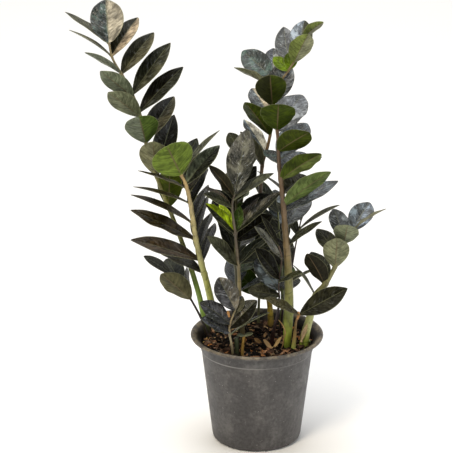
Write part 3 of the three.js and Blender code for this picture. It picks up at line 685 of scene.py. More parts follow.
def leaf_underside_finish(look):
    """Matt skin: dark side veins and midrib, and a thin pale margin."""
    finish = Finish("leaf_underside", specular=0.11)
    between, reach, wrinkle = leaf_pattern(finish, look.veins)
    vein = finish.times(finish.step(between, 0.0, 0.26, 0.6, 0.0), finish.step(reach, 0.55, 1.0, 1.0, 0.35))
    vein = finish.times(vein, finish.step(finish.noise(60.0), 0.35, 0.6, 0.3, 1.0))
    finish.base = finish.read(TINT)
    finish.shade(finish.noise(80.0, 4.0), 0.72, 1.28)
    finish.shade(wrinkle, 0.68, 1.32)
    finish.cover(vein, finish.mix(1.0, finish.base, look.vein_shade, "MULTIPLY"))
    finish.cover(finish.step(reach, 0.015, 0.07, 0.75, 0.0), look.rib_underside)
    finish.cover(finish.step(reach, 0.95, 1.0, 0.0, 0.4), look.margin)
    finish.bump(wrinkle, 0.5, 0.5)
    finish.bump(finish.step(between, 0.0, 0.9, 1.0, 0.0), 0.25, 0.35)
    finish.bump(finish.noise(260.0, 4.0), 0.2, 0.4)
    return finish.done(finish.step(finish.noise(120.0, 3.0), 0.3, 0.7, 0.42, 0.6))


def stalk_finish(look):
    """Fleshy stalk: faint rings, dark flecks drawn out along it, and a satin skin."""
    finish = Finish("stalk_skin")
    finish.base = finish.read(TINT)
    finish.shade(finish.noise(45.0, 4.0), 0.75, 1.25)
    finish.cover(finish.step(finish.drawn_out(330.0, 0.28), 0.58, 0.7, 0.0, 0.5), look.stalk_fleck)
    height = finish.node("ShaderNodeSeparateXYZ", {0: finish.leaf_place()})
    wander = finish.times(finish.noise(18.0, 2.0), 2.6)
    beat = finish.maths("PINGPONG", finish.maths("MULTIPLY_ADD", height, 62.0, wander), 0.5)
    broken = finish.step(finish.noise(30.0), 0.4, 0.6)
    finish.cover(finish.times(finish.step(beat, 0.0, 0.07, 0.55, 0.0), broken), look.stalk_fleck)
    finish.bump(finish.step(beat, 0.0, 0.12), 0.3, 0.5)
    finish.bump(finish.drawn_out(500.0, 0.2), 0.25, 0.5)
    return finish.done(finish.step(finish.noise(150.0), 0.3, 0.7, 0.36, 0.55))


def papery_finish():
    """Dry, curled skin: thin streaks along it."""
    finish = Finish("papery_skin", 0.75)
    streak = finish.noise(1.0, 4.0, 0.6, finish.stretched(finish.leaf_place(), 3.0, 26.0, 1.0))
    finish.base = finish.read(TINT)
    finish.shade(streak, 0.55, 1.4)
    finish.bump(streak, 0.4, 0.8)
    return finish.done()


COLLAR_LINE_DROP = 21.5  # from the top of the rim to the pale line round the collar
LIP_SHADE_LINE_DROP = 4.9  # and to the painted shade line under the rolled rim


def pot_finish(look):
    """Moulded grey plastic, dusty, with white specks, faint run marks, a dirty rim, painted shade under the
    rim and an inside both stained and painted with shade.
    """
    finish = Finish("pot_plastic")
    height = finish.place(2)

    def line(drop, full, faded, share):
        away = finish.maths("ABSOLUTE", finish.maths("SUBTRACT", height, (POT_HEIGHT - drop) * MM))
        return finish.step(away, full * MM, faded * MM, share, 0.0)

    finish.base = finish.mix(finish.noise(9.0, 5.0, 0.6), look.plastic_dark, look.plastic_light)
    finish.cover(finish.step(finish.drawn_out(48.0, 0.12, 4.0, 0.6), 0.45, 0.75, 0.0, 0.12), look.dust)
    finish.shade(finish.noise(260.0, 4.0, 0.7), 0.72, 1.28)
    finish.cover(finish.step(finish.noise(34.0, 8.0, 0.72), 0.48, 0.72, 0.0, 0.32), look.dust)
    finish.cover(finish.step(finish.drawn_out(210.0, 0.5, 5.0, 0.7), 0.62, 0.72, 0.0, 0.3), look.dust)
    finish.cover(finish.specks(230.0, 0.1, 60.0, 0.5, 0.58, 0.8), look.speck)
    worn = finish.step(finish.noise(14.0, 3.0), 0.4, 0.6, 0.25, 1.0)
    finish.cover(finish.times(line(COLLAR_LINE_DROP, 0.2, 1.4, 0.7), worn), look.dust)
    # A painted shade line under the rolled rim, in the crumbs' dark colour.
    finish.cover(line(LIP_SHADE_LINE_DROP, 0.3, 1.1, 0.75), look.crumb_and_lip_shade)
    # The inside wall turns near-black: compost stain and painted shade.
    finish.base = finish.mix(finish.read(TINT, "Fac"), look.stain_and_inner_shade, finish.base)
    rim = finish.step(height, (POT_HEIGHT - 4.5) * MM, (POT_HEIGHT - 1.2) * MM)
    soil_mark = finish.step(finish.noise(75.0, 5.0, 0.7), 0.42, 0.62, 0.15, 0.95)
    finish.cover(finish.times(rim, soil_mark), look.rim_dirt)
    crumb = finish.times(rim, finish.step(finish.noise(420.0, 3.0, 0.6), 0.58, 0.66, 0.0, 0.8))
    finish.cover(crumb, look.crumb_and_lip_shade)
    finish.bump(finish.noise(7.0, 2.0), 1.6, 0.25)
    finish.bump(finish.noise(900.0, 2.0), 0.12, 0.35)
    finish.bump(crumb, 0.5, 0.8)
    return finish.done(finish.step(finish.noise(70.0, 4.0), 0.3, 0.7, 0.42, 0.62))


def bark_finish(look):
    """Bark: each chip has its own tone, finely mottled and bumped, with patches of mould."""
    finish = Finish("bark_chips", 0.88, 0.12)
    finish.base = finish.read(TINT)
    finish.shade(finish.noise(300.0, 5.0, 0.65), 0.3, 1.8)
    finish.cover(finish.step(finish.noise(120.0, 4.0), 0.66, 0.74, 0.0, 0.45), look.mould)
    finish.bump(finish.noise(700.0, 5.0, 0.7), 0.6, 0.9)
    return finish.done()


def compost_finish(look):
    finish = Finish("fine_compost", 0.95)
    tone = finish.node("ShaderNodeSeparateColor", {0: finish.cells(430.0, "Color")})
    # Both crumb colours are near-black: the compost's own colour, darkened further as painted shade in the
    # gaps between the chips.
    finish.base = finish.mix(finish.step(tone, 0.2, 1.0), look.compost_dark, look.compost_light)
    finish.shade(finish.noise(240.0, 5.0, 0.7), 0.4, 1.5)
    finish.bump(finish.cells(430.0), 1.2)
    finish.bump(finish.noise(900.0, 4.0), 0.5, 0.8)
    return finish.done()


def rhizome_finish(look):
    finish = Finish("rhizome_skin", 0.6)
    rings = finish.noise(40.0, 3.0, vector=finish.stretched(finish.place(), 0.5, 0.5, 3.5))
    finish.base = finish.mix(finish.step(rings, 0.42, 0.6), look.rhizome_light, look.rhizome_dark)
    finish.shade(finish.noise(160.0, 4.0), 0.8, 1.2)
    finish.bump(rings, 0.8, 0.7)
    return finish.done()


# Meshes


class Surface:
    """Points and faces gathered for one piece, in millimetres, with what its materials read."""

    def __init__(self):
        self.points, self.faces, self.slots, self.uvs, self.tints, self.draws = [], [], [], [], [], []
        self.count = 0

    def add(self, points, faces, slot=0, tint=WHITE, uv=None, draw=0.0):
        """faces is a list of index lists, slot one or one for each face, tint one colour or one a point."""
        points = np.asarray(points, float).reshape(-1, 3)
        n = len(points)
        self.points.append(points)
        self.faces += [[k + self.count for k in face] for face in faces]
        self.slots += [slot] * len(faces) if isinstance(slot, int) else list(slot)
        self.uvs.append(np.zeros((n, 2)) if uv is None else np.asarray(uv, float).reshape(-1, 2))
        self.tints.append(np.broadcast_to(np.asarray(tint, float), (n, 4)))
        self.draws.append(np.full(n, float(draw)))
        self.count += n

    def make(self, name, materials, sharp=50):
        mesh = bpy.data.meshes.new(name)
        mesh.from_pydata((np.concatenate(self.points) * MM).tolist(), [], self.faces)
        for material in materials:
            mesh.materials.append(material)
        mesh.polygons.foreach_set("material_index", self.slots)
        mesh.polygons.foreach_set("use_smooth", [True] * len(self.faces))
        corners = np.zeros(len(mesh.loops), np.int32)
        mesh.loops.foreach_get("vertex_index", corners)
        uv = mesh.uv_layers.new(name=LEAF_UV)
        uv.uv.foreach_set("vector", np.concatenate(self.uvs)[corners].astype(np.float32).ravel())
        tint = mesh.attributes.new(TINT, "FLOAT_COLOR", "POINT")
        tint.data.foreach_set("color", np.concatenate(self.tints).astype(np.float32).ravel())
        draw = mesh.attributes.new(DRAW, "FLOAT", "POINT")
        draw.data.foreach_set("value", np.concatenate(self.draws).astype(np.float32))
        mesh.set_sharp_from_angle(angle=math.radians(sharp))
        mesh.update()
        piece = bpy.data.objects.new(name, mesh)
        bpy.context.scene.collection.objects.link(piece)
        return piece


def turns(count):
    """Angles spread evenly round a circle."""
    return 2 * np.pi * np.arange(count) / count


def grid_faces(rows, columns, start=0, flip=False, wrap=False):
    """Quads over a grid of points, row after row."""
    faces = []
    for i in range(rows - 1):
        for j in range(columns if wrap else columns - 1):
            k = (j + 1) % columns
            face = [start + i * columns + j, start + i * columns + k]
            face += [start + (i + 1) * columns + k, start + (i + 1) * columns + j]
            faces.append(face[::-1] if flip else face)
    return faces


def ring_faces(rows, sides):
    """Quads over rings of points, and a face that closes each end."""
    last = (rows - 1) * sides
    return grid_faces(rows, sides, wrap=True) + [list(range(sides))[::-1], list(range(last, last + sides))]


def placed_piece(piece, slot, *nodes):
    """Rides the piece on the plant's one body and puts it in the place of its solids."""
    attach(piece, "root")
    if nodes:
        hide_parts(*nodes)
    return piece


BLADE_ROWS, BLADE_COLUMNS = 29, 15
COLUMN_CROWDING = 1.35  # higher brings the columns nearer to the midrib
TIP_NARROWING, LEAST_HALF_WIDTH = 0.15, 0.3
LEAF_THICKNESS, PAPER_THICKNESS = (0.95, 0.42), (0.6, 0.4)  # at the midrib and at the margin
ROOT_THICKNESS = 2.3
GROOVE_DEPTH, GROOVE_REACH = 0.22, 0.8
RIB_HEIGHT, RIB_REACH = 0.55, 0.9
CUPPING = 0.1  # how much of the fold is lost towards the margin
WAVE_HEIGHT, WAVE_LIMIT = 0.055, 1.3  # of the margin, as a share of the width, and in millimetres
HALVES_BLEND = 0.08  # share of the half width over which one half's tint turns into the other's
GLOSSY_SLOT, DULL_SLOT, UNDER_SLOT, STALK_SLOT, PAPER_SLOT = range(5)


def add_blade(surface, blade, upper, under, draw, uppers=(DULL_SLOT, DULL_SLOT), paper=False):
    """A leaflet with a groove over its midrib, a raised rib under it, a waved margin and a fleshy root.

    upper and under each hold the tint of the half left of the midrib and of the half right of it, and uppers
    the material slots of the upper face's halves.
    """
    s = (1 - np.cos(np.linspace(0, np.pi, BLADE_ROWS))) / 2
    side = np.linspace(-1, 1, BLADE_COLUMNS)
    side = np.sign(side) * np.abs(side) ** COLUMN_CROWDING
    s, side = np.meshgrid(s, side, indexing="ij")
    pointed = 1 - TIP_NARROWING * smooth_step(s, 0.8, 1.0)
    reach = side * np.maximum(blade.half_width(s) * pointed, LEAST_HALF_WIDTH)
    wave_turns = 1.4 + 1.6 * draw()
    wave = math.sin(6.28 * draw()) * np.sin(2 * np.pi * wave_turns * s + 6.28 * draw())
    wave *= np.abs(side) ** 2.5 * (0.6 + 0.5 * np.sign(side) * (draw() - 0.5))
    wave *= WAVE_HEIGHT * blade.width * np.sin(np.pi * s)
    soft_fold = blade.fold * (np.sqrt(reach**2 + 1.2) - 1.1) - blade.arch * blade.length * s * s
    cup = -CUPPING * blade.fold * reach**2 / (blade.width / 2)
    middle = soft_fold + cup + wave.clip(-WAVE_LIMIT, WAVE_LIMIT)
    thickness, edge = PAPER_THICKNESS if paper else LEAF_THICKNESS
    thick = edge + (thickness - edge) * (1 - np.abs(side) ** 1.6)
    thick = thick + (ROOT_THICKNESS - thickness) * (1 - smooth_step(s, 0.0, 0.1))
    groove = GROOVE_DEPTH * np.exp(-((reach / GROOVE_REACH) ** 2)) * smooth_step(s, 0.03, 0.15)
    rib = RIB_HEIGHT * np.exp(-((reach / RIB_REACH) ** 2)) * (1 - s)
    top = blade.points(s, reach, middle + thick / 2 - groove)
    bottom = blade.points(s, reach, middle - thick / 2 - rib)
    rows, columns = s.shape
    n = rows * columns
    faces = grid_faces(rows, columns)
    slots = [uppers[j >= (columns - 1) // 2] for _ in range(rows - 1) for j in range(columns - 1)]
    faces += grid_faces(rows, columns, n, flip=True)
    for i in range(rows - 1):
        left, right = i * columns, (i + 1) * columns - 1
        faces.append([left, left + columns, n + left + columns, n + left])
        faces.append([right, n + right, n + right + columns, right + columns])
    last = (rows - 1) * columns
    for j in range(columns - 1):
        faces.append([j, n + j, n + j + 1, j + 1])
        faces.append([last + j, last + j + 1, n + last + j + 1, n + last + j])
    slots += [UNDER_SLOT] * (len(faces) - len(slots))
    if paper:
        slots = [PAPER_SLOT] * len(faces)
    uv = np.stack([s, side / 2 + 0.5], axis=-1).reshape(-1, 2)
    # A leaflet's two halves are tinted apart, mostly so that one half carries a painted highlight where the
    # fold would catch the light.
    share = smooth_step(side, -HALVES_BLEND, HALVES_BLEND).reshape(-1, 1)
    tint = np.concatenate([face[0] * (1 - share) + face[1] * share for face in (upper, under)])
    points = np.concatenate([top.reshape(-1, 3), bottom.reshape(-1, 3)])
    surface.add(points, faces, slots, tint, np.concatenate([uv, uv]), draw())


def add_tube(surface, points, radii, tint=WHITE, slot=0, sides=14, lengthways=None):
    """A closed tube of rings along points, in millimetres. tint is one colour, or one for each ring."""
    points = np.asarray(points, float)
    along = np.gradient(points, axis=0)
    along /= np.linalg.norm(along, axis=1, keepdims=True)
    side = np.array([1.0, 0.0, 0.0])
    angles = turns(sides)
    rings = []
    for centre, ahead, radius in zip(points, along, radii):
        side = side - ahead * side.dot(ahead)
        side /= np.linalg.norm(side)
        other = np.cross(ahead, side)
        rings.append(centre + radius * (np.outer(np.cos(angles), side) + np.outer(np.sin(angles), other)))
    rows = len(rings)
    height = lengthways if lengthways is not None else np.linspace(0, 1, rows)
    uv = np.stack(np.broadcast_arrays(np.asarray(height)[:, None], angles[None] / 6.283), axis=-1)
    tints = np.repeat(tint, sides, axis=0) if np.ndim(tint) > 1 else tint
    surface.add(np.concatenate(rings), ring_faces(rows, sides), slot, tints, uv)


def tint_at(stops, heights):
    """The stalk's colour at each height, from its stops."""
    levels = [level for level, _ in stops]
    shades = np.array([linear(code) for _, code in stops])
    return np.stack([np.interp(heights, levels, shades[:, k]) for k in range(4)], axis=-1)


def shaded(tone, draw, spread=0.22):
    """A scale's or a chip's own shade of its colour."""
    light = 1 + spread * (draw() - 0.5) * 2
    warm = 1 + 0.10 * (draw() - 0.5) * 2
    return np.array([tone[0] * light * warm, tone[1] * light, tone[2] * light / warm, 1.0])


TUBE_STEPS = 12  # rings for each stretch of a route
NODE_SWELL, NODE_REACH = 0.16, 2.6  # how much and how far a stalk swells where a leaflet leaves it
CUT_ENDS = ("stub_tan", "stub_dark", "stub_right")
# A cut end's bevel and dip in millimetres, and the shares of its radius that they leave
CUT_BEVEL, CUT_DIP = 0.05, 0.8
BEVEL_SHARE, DIP_SHARE = 0.86, 0.2
TIP_ROUNDING, TIP_SHARE = 0.7, 0.35  # how far a grown tip reaches on, and its radius, in shares of its radius


def add_stalk(surface, shoot, blades):
    points, radii = along_stalk(shoot, TUBE_STEPS)
    for blade in blades:
        away = np.linalg.norm(points - blade.root, axis=1)
        radii *= 1 + NODE_SWELL * np.exp(-((away / NODE_REACH) ** 2))
    if shoot.name in CUT_ENDS:
        points = np.concatenate([points, points[-1:], points[-1:] - [0, 0, CUT_DIP]])
        points[-3] -= [0, 0, CUT_BEVEL]
        radii = np.concatenate([radii, [radii[-1] * BEVEL_SHARE, radii[-1] * DIP_SHARE]])
    else:
        end = points[-1] - points[-2]
        end /= np.linalg.norm(end)
        points = np.concatenate([points, [points[-1] + end * radii[-1] * TIP_ROUNDING]])
        radii = np.concatenate([radii, [radii[-1] * TIP_SHARE]])
    heights = points[:, 2]
    add_tube(surface, points, radii, tint_at(shoot.stalk, heights), STALK_SLOT, lengthways=heights * MM)


# Sizes and colours that a user may change


class PotLook(bpy.types.PropertyGroup):
    rim_radius: length("Rim radius", RIM_RADIUS, "Outside of the rolled rim")
    height: length("Height", POT_HEIGHT, "From the floor to the top of the rim")
    base_radius: length("Base radius", 57.5, "Where the wall meets the rounded lower corner")
    wall_top_radius: length("Wall radius", WALL_TOP_RADIUS, "Outside of the wall just under the rim")
    wall: length("Wall", WALL, "Thickness of the moulded wall")
    sides: IntProperty(name="Sides", description="Faces round the pot", min=48, default=144)
    plastic_dark: colour("Plastic, dark", "#2f2e2e", "The darker patches of the moulded plastic")
    plastic_light: colour("Plastic, light", "#4b4848", "The lighter patches of the moulded plastic")
    dust: colour("Dust", "#8c8a87", "Dry dust in run marks and on the collar")
    speck: colour("Specks", "#cfcbc4", "Lime specks")
    rim_dirt: colour("Rim dirt", "#857a66", "Dried compost rubbed into the rim")
    stain_and_inner_shade: colour("Stained and shaded inside", "#1c150f", "The inside wall, dirty with compost and painted with shade")
    crumb_and_lip_shade: colour("Rim crumbs and lip shade", "#4a3a2c", "Dark crumbs that stick to the rim, and the painted shade line under the rolled rim")


class CompostLook(bpy.types.PropertyGroup):
    chips: IntProperty(name="Chips", description="Bark chips that lie on the compost", min=0, default=1500)
    chip_length: length("Chip length", 6.8, "Length of a middling chip")
    compost_dark: colour("Compost, dark", "#080503", "Damp crumbs between the chips, near-black as painted shade in the gaps")
    compost_light: colour("Compost, light", "#1e150d", "Dry crumbs between the chips, darkened as painted shade in the gaps")
    mould: colour("Mould", "#6e6250", "Pale bloom on old bark")
    rhizome_light: colour("Rhizome, light", "#b59a6c", "Skin of the tubers")
    rhizome_dark: colour("Rhizome, dark", "#7d6238", "Rings of the tubers")


class FoliageLook(bpy.types.PropertyGroup):
    veins: FloatProperty(name="Veins", description="Side veins on each half of a leaflet", min=1, default=9.5)
    gloss_low: FloatProperty(name="Gloss, wet", description="Roughness of the glossiest places", default=0.16)
    gloss_high: FloatProperty(name="Gloss, dull", description="Roughness of the dullest places", default=0.4)
    vein_upper: colour("Vein, upper", "#3b4236", "Side veins seen from above")
    vein_shade: colour("Vein, underside", "#6e6a5a", "How far the side veins darken an underside")
    rib_upper: colour("Midrib, upper", "#5a5c42", "Midrib seen from above")
    rib_underside: colour("Midrib, underside", "#665741", "Midrib seen from below")
    margin: colour("Margin", "#8b8c6c", "The thin pale edge of most leaflets")
    # The dark edge of glossy leaflets, and also the painted shade in dark patches on the upper faces.
    dark_margin_and_shade: colour("Dark margin and painted shade", "#20231d", "The thin edge of glossy leaflets, and painted shade in patches on the upper faces")
    # A painted silvery highlight, laid on the highest wrinkles of the upper faces.
    painted_sheen: colour("Sheen", "#b4bac0", "Painted silvery highlight on the wrinkles of the upper faces")
    dust: colour("Leaf dust", "#8f918c", "Dust on the upper faces")
    stalk_fleck: colour("Stalk flecks", "#332c1c", "Flecks and rings on the stalks")


# Each kind of leaflet half: its full name, the tint of its upper face and of its underside, and what has it
# The slate and silver upper tints are painted cool reflections, and beige is a painted warm highlight. The
# glossy kinds also get painted highlight and shade patches from their finish.
LEAFLET_KINDS = {
    "night": ("Near-black", "#14130c", "#26261a", "the oldest leaflets"),
    "dark": ("Dark", "#242519", "#26251a", "old leaflets"),
    "umber": ("Umber", "#32291a", "#2b3010", "brown-black halves"),
    "drab": ("Drab", "#3f3e2e", "#5a573c", "dull leaflets near the foot"),
    # Upper face tinted grey-blue as a painted cool reflection.
    "slate": ("Slate", "#363c3e", "#4d5338", "blue-grey leaflets with a painted reflection"),
    "teal": ("Teal", "#202b26", "#4c5a48", "green-grey leaflets with painted highlights"),
    # Upper face lightened as a painted cool reflection.
    "silver": ("Silver", "#5a6066", "#6a6a58", "leaflets with the most painted reflection"),
    # Upper face painted with a warm highlight.
    "beige": ("Beige", "#9a917e", "#8a7f66", "halves painted with a warm highlight"),
    # Glossy: its pale blotches are painted highlights from the finish.
    "mottled": ("Mottled", "#403e34", "#4a4838", "dark leaflets with painted highlight blotches"),
    "navy": ("Blue-black", "#24262a", "#3c4032", "leaflets by the stalks"),
    "olive": ("Olive", "#33341f", "#6c6f55", "dull green leaflets"),
    "sage": ("Sage", "#70745c", "#767a60", "withered pieces"),
    "green": ("Green", "#2a3a0c", "#38450a", "grown green leaflets"),
    "fern": ("Fern", "#44581a", "#64713a", "paler green leaflets"),
    "moss": ("Moss", "#4d6410", "#5b6a2c", "fresh green leaflets"),
    "bright": ("Bright", "#698635", "#6e8030", "the lit leaflet at the front"),
    "young": ("Young", "#b5cc22", "#a9bf2a", "the newest leaflet"),
    "bronze": ("Bronze", "#29230f", "#4a412b", "brownish leaflets"),
}
# These upper faces take the larger share of painted highlight and painted shade patches.
GLOSSY_KINDS = ("slate", "teal", "silver", "mottled", "navy")


def leaflet_tints():
    for kind, (title, upper, underside, told) in LEAFLET_KINDS.items():
        yield kind + "_upper", colour(f"{title}, upper", upper, f"Upper face of {told}")
        yield kind + "_underside", colour(f"{title}, underside", underside, f"Underside of {told}")


FoliageLook.__annotations__.update(leaflet_tints())


class StageLook(bpy.types.PropertyGroup):
    viewpoint: FloatVectorProperty(
        name="Viewpoint",
        description="Place of the camera",
        subtype="XYZ",
        unit="LENGTH",
        default=(-0.039, -2.6, 1.215),
    )
    pitch: FloatProperty(name="Pitch", description="Its look down", subtype="ANGLE", default=VIEW_PITCH)
    lens: FloatProperty(name="Lens", description="Focal length in millimetres", min=1, default=174.12)
    floor: colour("Floor", "#f4f3f1", "The pale floor")
    sky: FloatProperty(name="Surrounding light", description="Strength of the even light", min=0, default=0.3)


# Pot

COLLAR_DROP, COLLAR_STEP = 22, 2  # from the rim's top down to the collar, and how far the collar stands out
FLANGE_INSET, FOOT_INSET = 7.5, 10.5  # of the rim's flange and of the foot's inner edge
INNER_FOOT = 8  # height where the inner wall begins


def pot_profile(look):
    """The pot's section, as radius and height, from the middle of its underside outwards and back."""
    rim, high, base = look.rim_radius / MM, look.height / MM, look.base_radius / MM
    top, wall = look.wall_top_radius / MM, look.wall / MM
    collar, flange, foot = high - COLLAR_DROP, rim - FLANGE_INSET, base - FOOT_INSET
    return [
        (0, 0), (20, 0), (22, 2.5), (foot, 2.5), (foot + 1, 0), (base - 5, 0), (base - 2.6, 0.7),
        (base - 1.0, 2.6), (base, 6), (top - 2.8, collar), (top - COLLAR_STEP, collar + 1), (top, high - 9),
        (flange, high - 5.5), (rim - 1.7, high - 4.7), (rim - 0.5, high - 3.8), (rim, high - 2.4),
        (rim - 0.4, high - 1.1), (rim - 1.3, high - 0.3), (rim - 2.6, high), (rim - 4.0, high - 0.5),
        (rim - 4.7, high - 1.2), (flange - 0.5, high - 3.2), (top, high - 6.2), (top - wall, high - 9.5),
        (top - COLLAR_STEP - wall, collar), (base - wall, INNER_FOOT), (base - wall - 3, 2.5 + wall),
        (0, 2.5 + wall),
    ]


INNER_LIP_POINTS = 6  # of the section, past its widest, before the inside begins, stained with compost and painted with shade
DRAIN_HOLES, DRAIN_HOLE_RADIUS, DRAIN_CIRCLE_RADIUS = 8, 4.5, 34
NOTCHES, NOTCH_WIDTH, NOTCH_TURN = 4, 9, 0.12
BOX_FACES = [[3, 2, 1, 0], [4, 5, 6, 7], [0, 1, 5, 4], [1, 2, 6, 5], [2, 3, 7, 6], [3, 0, 4, 7]]


def drain_cutter(foot):
    """The drain holes and the notches of the foot, as one set of cutting solids."""
    cutter = Surface()
    for i in range(DRAIN_HOLES):
        turn = 2 * math.pi * (i + 0.5) / DRAIN_HOLES
        x, y = DRAIN_CIRCLE_RADIUS * math.cos(turn), DRAIN_CIRCLE_RADIUS * math.sin(turn)
        add_tube(cutter, [(x, y, -2), (x, y, 4), (x, y, 10)], [DRAIN_HOLE_RADIUS] * 3, sides=24)
    for i in range(NOTCHES):
        turn = 2 * math.pi * i / NOTCHES - math.pi / 2 + NOTCH_TURN
        ahead = np.array([math.cos(turn), math.sin(turn), 0.0])
        aside = np.array([-ahead[1], ahead[0], 0.0]) * NOTCH_WIDTH / 2
        corners = [
            ahead * (foot + reach) + aside * side + np.array([0, 0, level])
            for level in (-1.5, 1.5)
            for reach, side in ((-4, -1), (12, -1), (12, 1), (-4, 1))
        ]
        cutter.add(corners, BOX_FACES)
    return cutter.make("drain_cutter", [])


def applied(piece, kind, **settings):
    """Adds a modifier and leaves its result as the piece's mesh."""
    modifier = piece.modifiers.new(kind.lower(), kind)
    for key, value in settings.items():
        setattr(modifier, key, value)
    graph = bpy.context.evaluated_depsgraph_get()
    mesh = bpy.data.meshes.new_from_object(piece.evaluated_get(graph), depsgraph=graph)
    piece.modifiers.clear()
    piece.data = mesh


POT_SHARP, POT_BEVEL_FROM = 38, 28  # degrees from which its edges look sharp, and from which it is bevelled
POT_BEVEL = 0.35


class PLANT_OT_pot(bpy.types.Operator):
    """Turns the plastic pot on its axis, cuts its drain holes and finishes it"""

    bl_idname = "plant.pot"
    bl_label = "Pot"

    def execute(self, context):
        look = context.scene.pot_look
        profile = np.array(pot_profile(look), float)
        ring, turn = profile[1:-1], turns(look.sides)
        sweep = [np.cos(turn), np.sin(turn), turn * 0 + 1]
        points = np.stack([np.outer(ring[:, k], part) for k, part in zip((0, 0, 1), sweep)], axis=-1)
        rows = len(ring)
        faces = grid_faces(rows, look.sides, wrap=True)
        middle = rows * look.sides
        for j in range(look.sides):
            k = (j + 1) % look.sides
            faces.append([middle, k, j])
            faces.append([middle + 1, middle - look.sides + j, middle - look.sides + k])
        ends = [(0, 0, profile[0, 1]), (0, 0, profile[-1, 1])]
        # Rows past the lip take the dark inside tint: compost stain and painted shade.
        outer_rows = np.arange(rows) < int(np.argmax(ring[:, 0])) + INNER_LIP_POINTS
        outer_tint = np.concatenate([np.repeat(outer_rows, look.sides), [True, False]])[:, None] * np.ones(4)
        surface = Surface()
        surface.add(np.concatenate([points.reshape(-1, 3), ends]), faces, tint=outer_tint)
        pot = surface.make("nursery_pot", [pot_finish(look)], POT_SHARP)
        cutter = drain_cutter(look.base_radius / MM - FOOT_INSET)
        limit = {"limit_method": "ANGLE", "angle_limit": math.radians(POT_BEVEL_FROM)}
        applied(pot, "BEVEL", width=POT_BEVEL * MM, segments=2, **limit)
        applied(pot, "BOOLEAN", operation="DIFFERENCE", object=cutter, solver="EXACT")
        bpy.data.objects.remove(cutter)
        pot.data.set_sharp_from_angle(angle=math.radians(POT_SHARP))
        placed_piece(pot, "pot", "pot")
        return {"FINISHED"}


# Compost

COMPOST_SIDES, COMPOST_RINGS = 120, 44


def inner_radius(look, z):
    base, top, wall = look.base_radius / MM, look.wall_top_radius / MM, look.wall / MM
    part = (z - INNER_FOOT) / (look.height / MM - COLLAR_DROP - INNER_FOOT)
    return base - wall + (top - COLLAR_STEP - base) * part


def soil_height(x, y):
    """Height of the uneven compost at a place, in millimetres, before its chips."""
    place = Vector((x, y, 0))
    return SOIL_TOP + 2.0 * noise.noise(place / 13) + 1.1 * noise.noise(place / 5 + Vector((9, 4, 2)))


class PLANT_OT_compost(bpy.types.Operator):
    """Fills the pot with compost that has an uneven, crumbly top"""

    bl_idname = "plant.compost"
    bl_label = "Compost"

    def execute(self, context):
        pot, look = context.scene.pot_look, context.scene.compost_look
        top = inner_radius(pot, SOIL_TOP) - 0.8
        rings = [(inner_radius(pot, INNER_FOOT) - 5, 4.9), (inner_radius(pot, 12) - 1, 12)]
        rings += [(top, SOIL_TOP - 5)]
        rings += [((top - 0.6) * (1 - k / COMPOST_RINGS), None) for k in range(COMPOST_RINGS)]
        points = []
        for radius, level in rings:
            for angle in turns(COMPOST_SIDES):
                x, y = radius * math.cos(angle), radius * math.sin(angle)
                points.append((x, y, soil_height(x, y) if level is None else level))
        surface = Surface()
        surface.add(points, ring_faces(len(rings), COMPOST_SIDES))
        placed_piece(surface.make("compost", [compost_finish(look)]), "compost", "soil")
        return {"FINISHED"}


# Tones of the bark, and the share of the chips that has each
BARK = [
    ("#150f0a", 0.24), ("#281d15", 0.16), ("#423127", 0.13), ("#664d3c", 0.1), ("#080504", 0.19),
    ("#8a6b52", 0.07), ("#66584a", 0.07), ("#a98b66", 0.05), ("#96633c", 0.03),
]
BARK_SPREAD = 0.35  # how far chips of one tone differ
CHIP_SIDES, CHIP_RINGS = 6, 4
CHIP_SEED = 31
# Chips that stand out: place on the compost, length, width, turn in degrees, colour
NOTED_CHIPS = [
    (-6, -4, 6, 5, 10, "#b0662a"), (-66, 3, 16, 2.6, 68, "#a08752"), (-60, -14, 6, 4.5, 30, "#b5763c"),
    (-56, -27, 7, 4.5, -20, "#a37f6c"), (-63, 27, 6, 4, 50, "#8b8a4c"), (-60, 34, 6, 4, 15, "#a4923f"),
    (-40, -44, 7, 4, -30, "#7a5a3a"), (-12, -58, 8, 4, 5, "#6b4c30"), (8, -60, 7, 5, -12, "#8c6b48"),
    (22, -50, 9, 4, 25, "#59402b"), (2, -30, 8, 5, 40, "#9a7a52"), (14, -34, 10, 4, -35, "#a98a60"),
    (-30, 30, 8, 5, 20, "#6f4f33"), (24, 8, 8, 4, -60, "#8d5a2c"), (60, -12, 7, 5, 70, "#5e452f"),
]
NOTED_LIFT, NOTED_TILT = 1.9, (6, -5)


def add_chip(surface, centre, size, turn, tilt, tone, draw):
    """A split piece of bark: an irregular prism that narrows to its ends."""
    across = [0.45 + 0.55 * draw() for _ in range(CHIP_SIDES)]
    points = []
    for part, swell in ((-0.5, 0.45 + 0.4 * draw()), (-0.12, 1.0), (0.22, 0.9), (0.5, 0.3 + 0.5 * draw())):
        for angle, reach in zip(turns(CHIP_SIDES), across):
            half = reach * swell * 0.5
            points.append((part, math.cos(angle) * half, math.sin(angle) * half))
    local = np.array(points) * size
    for degrees, (i, j) in ((tilt[0], (0, 2)), (tilt[1], (1, 2)), (turn, (0, 1))):
        c, s = math.cos(math.radians(degrees)), math.sin(math.radians(degrees))
        a, b = local[:, i].copy(), local[:, j].copy()
        local[:, i], local[:, j] = a * c - b * s, a * s + b * c
    surface.add(local + centre, ring_faces(CHIP_RINGS, CHIP_SIDES), tint=tone, draw=draw())


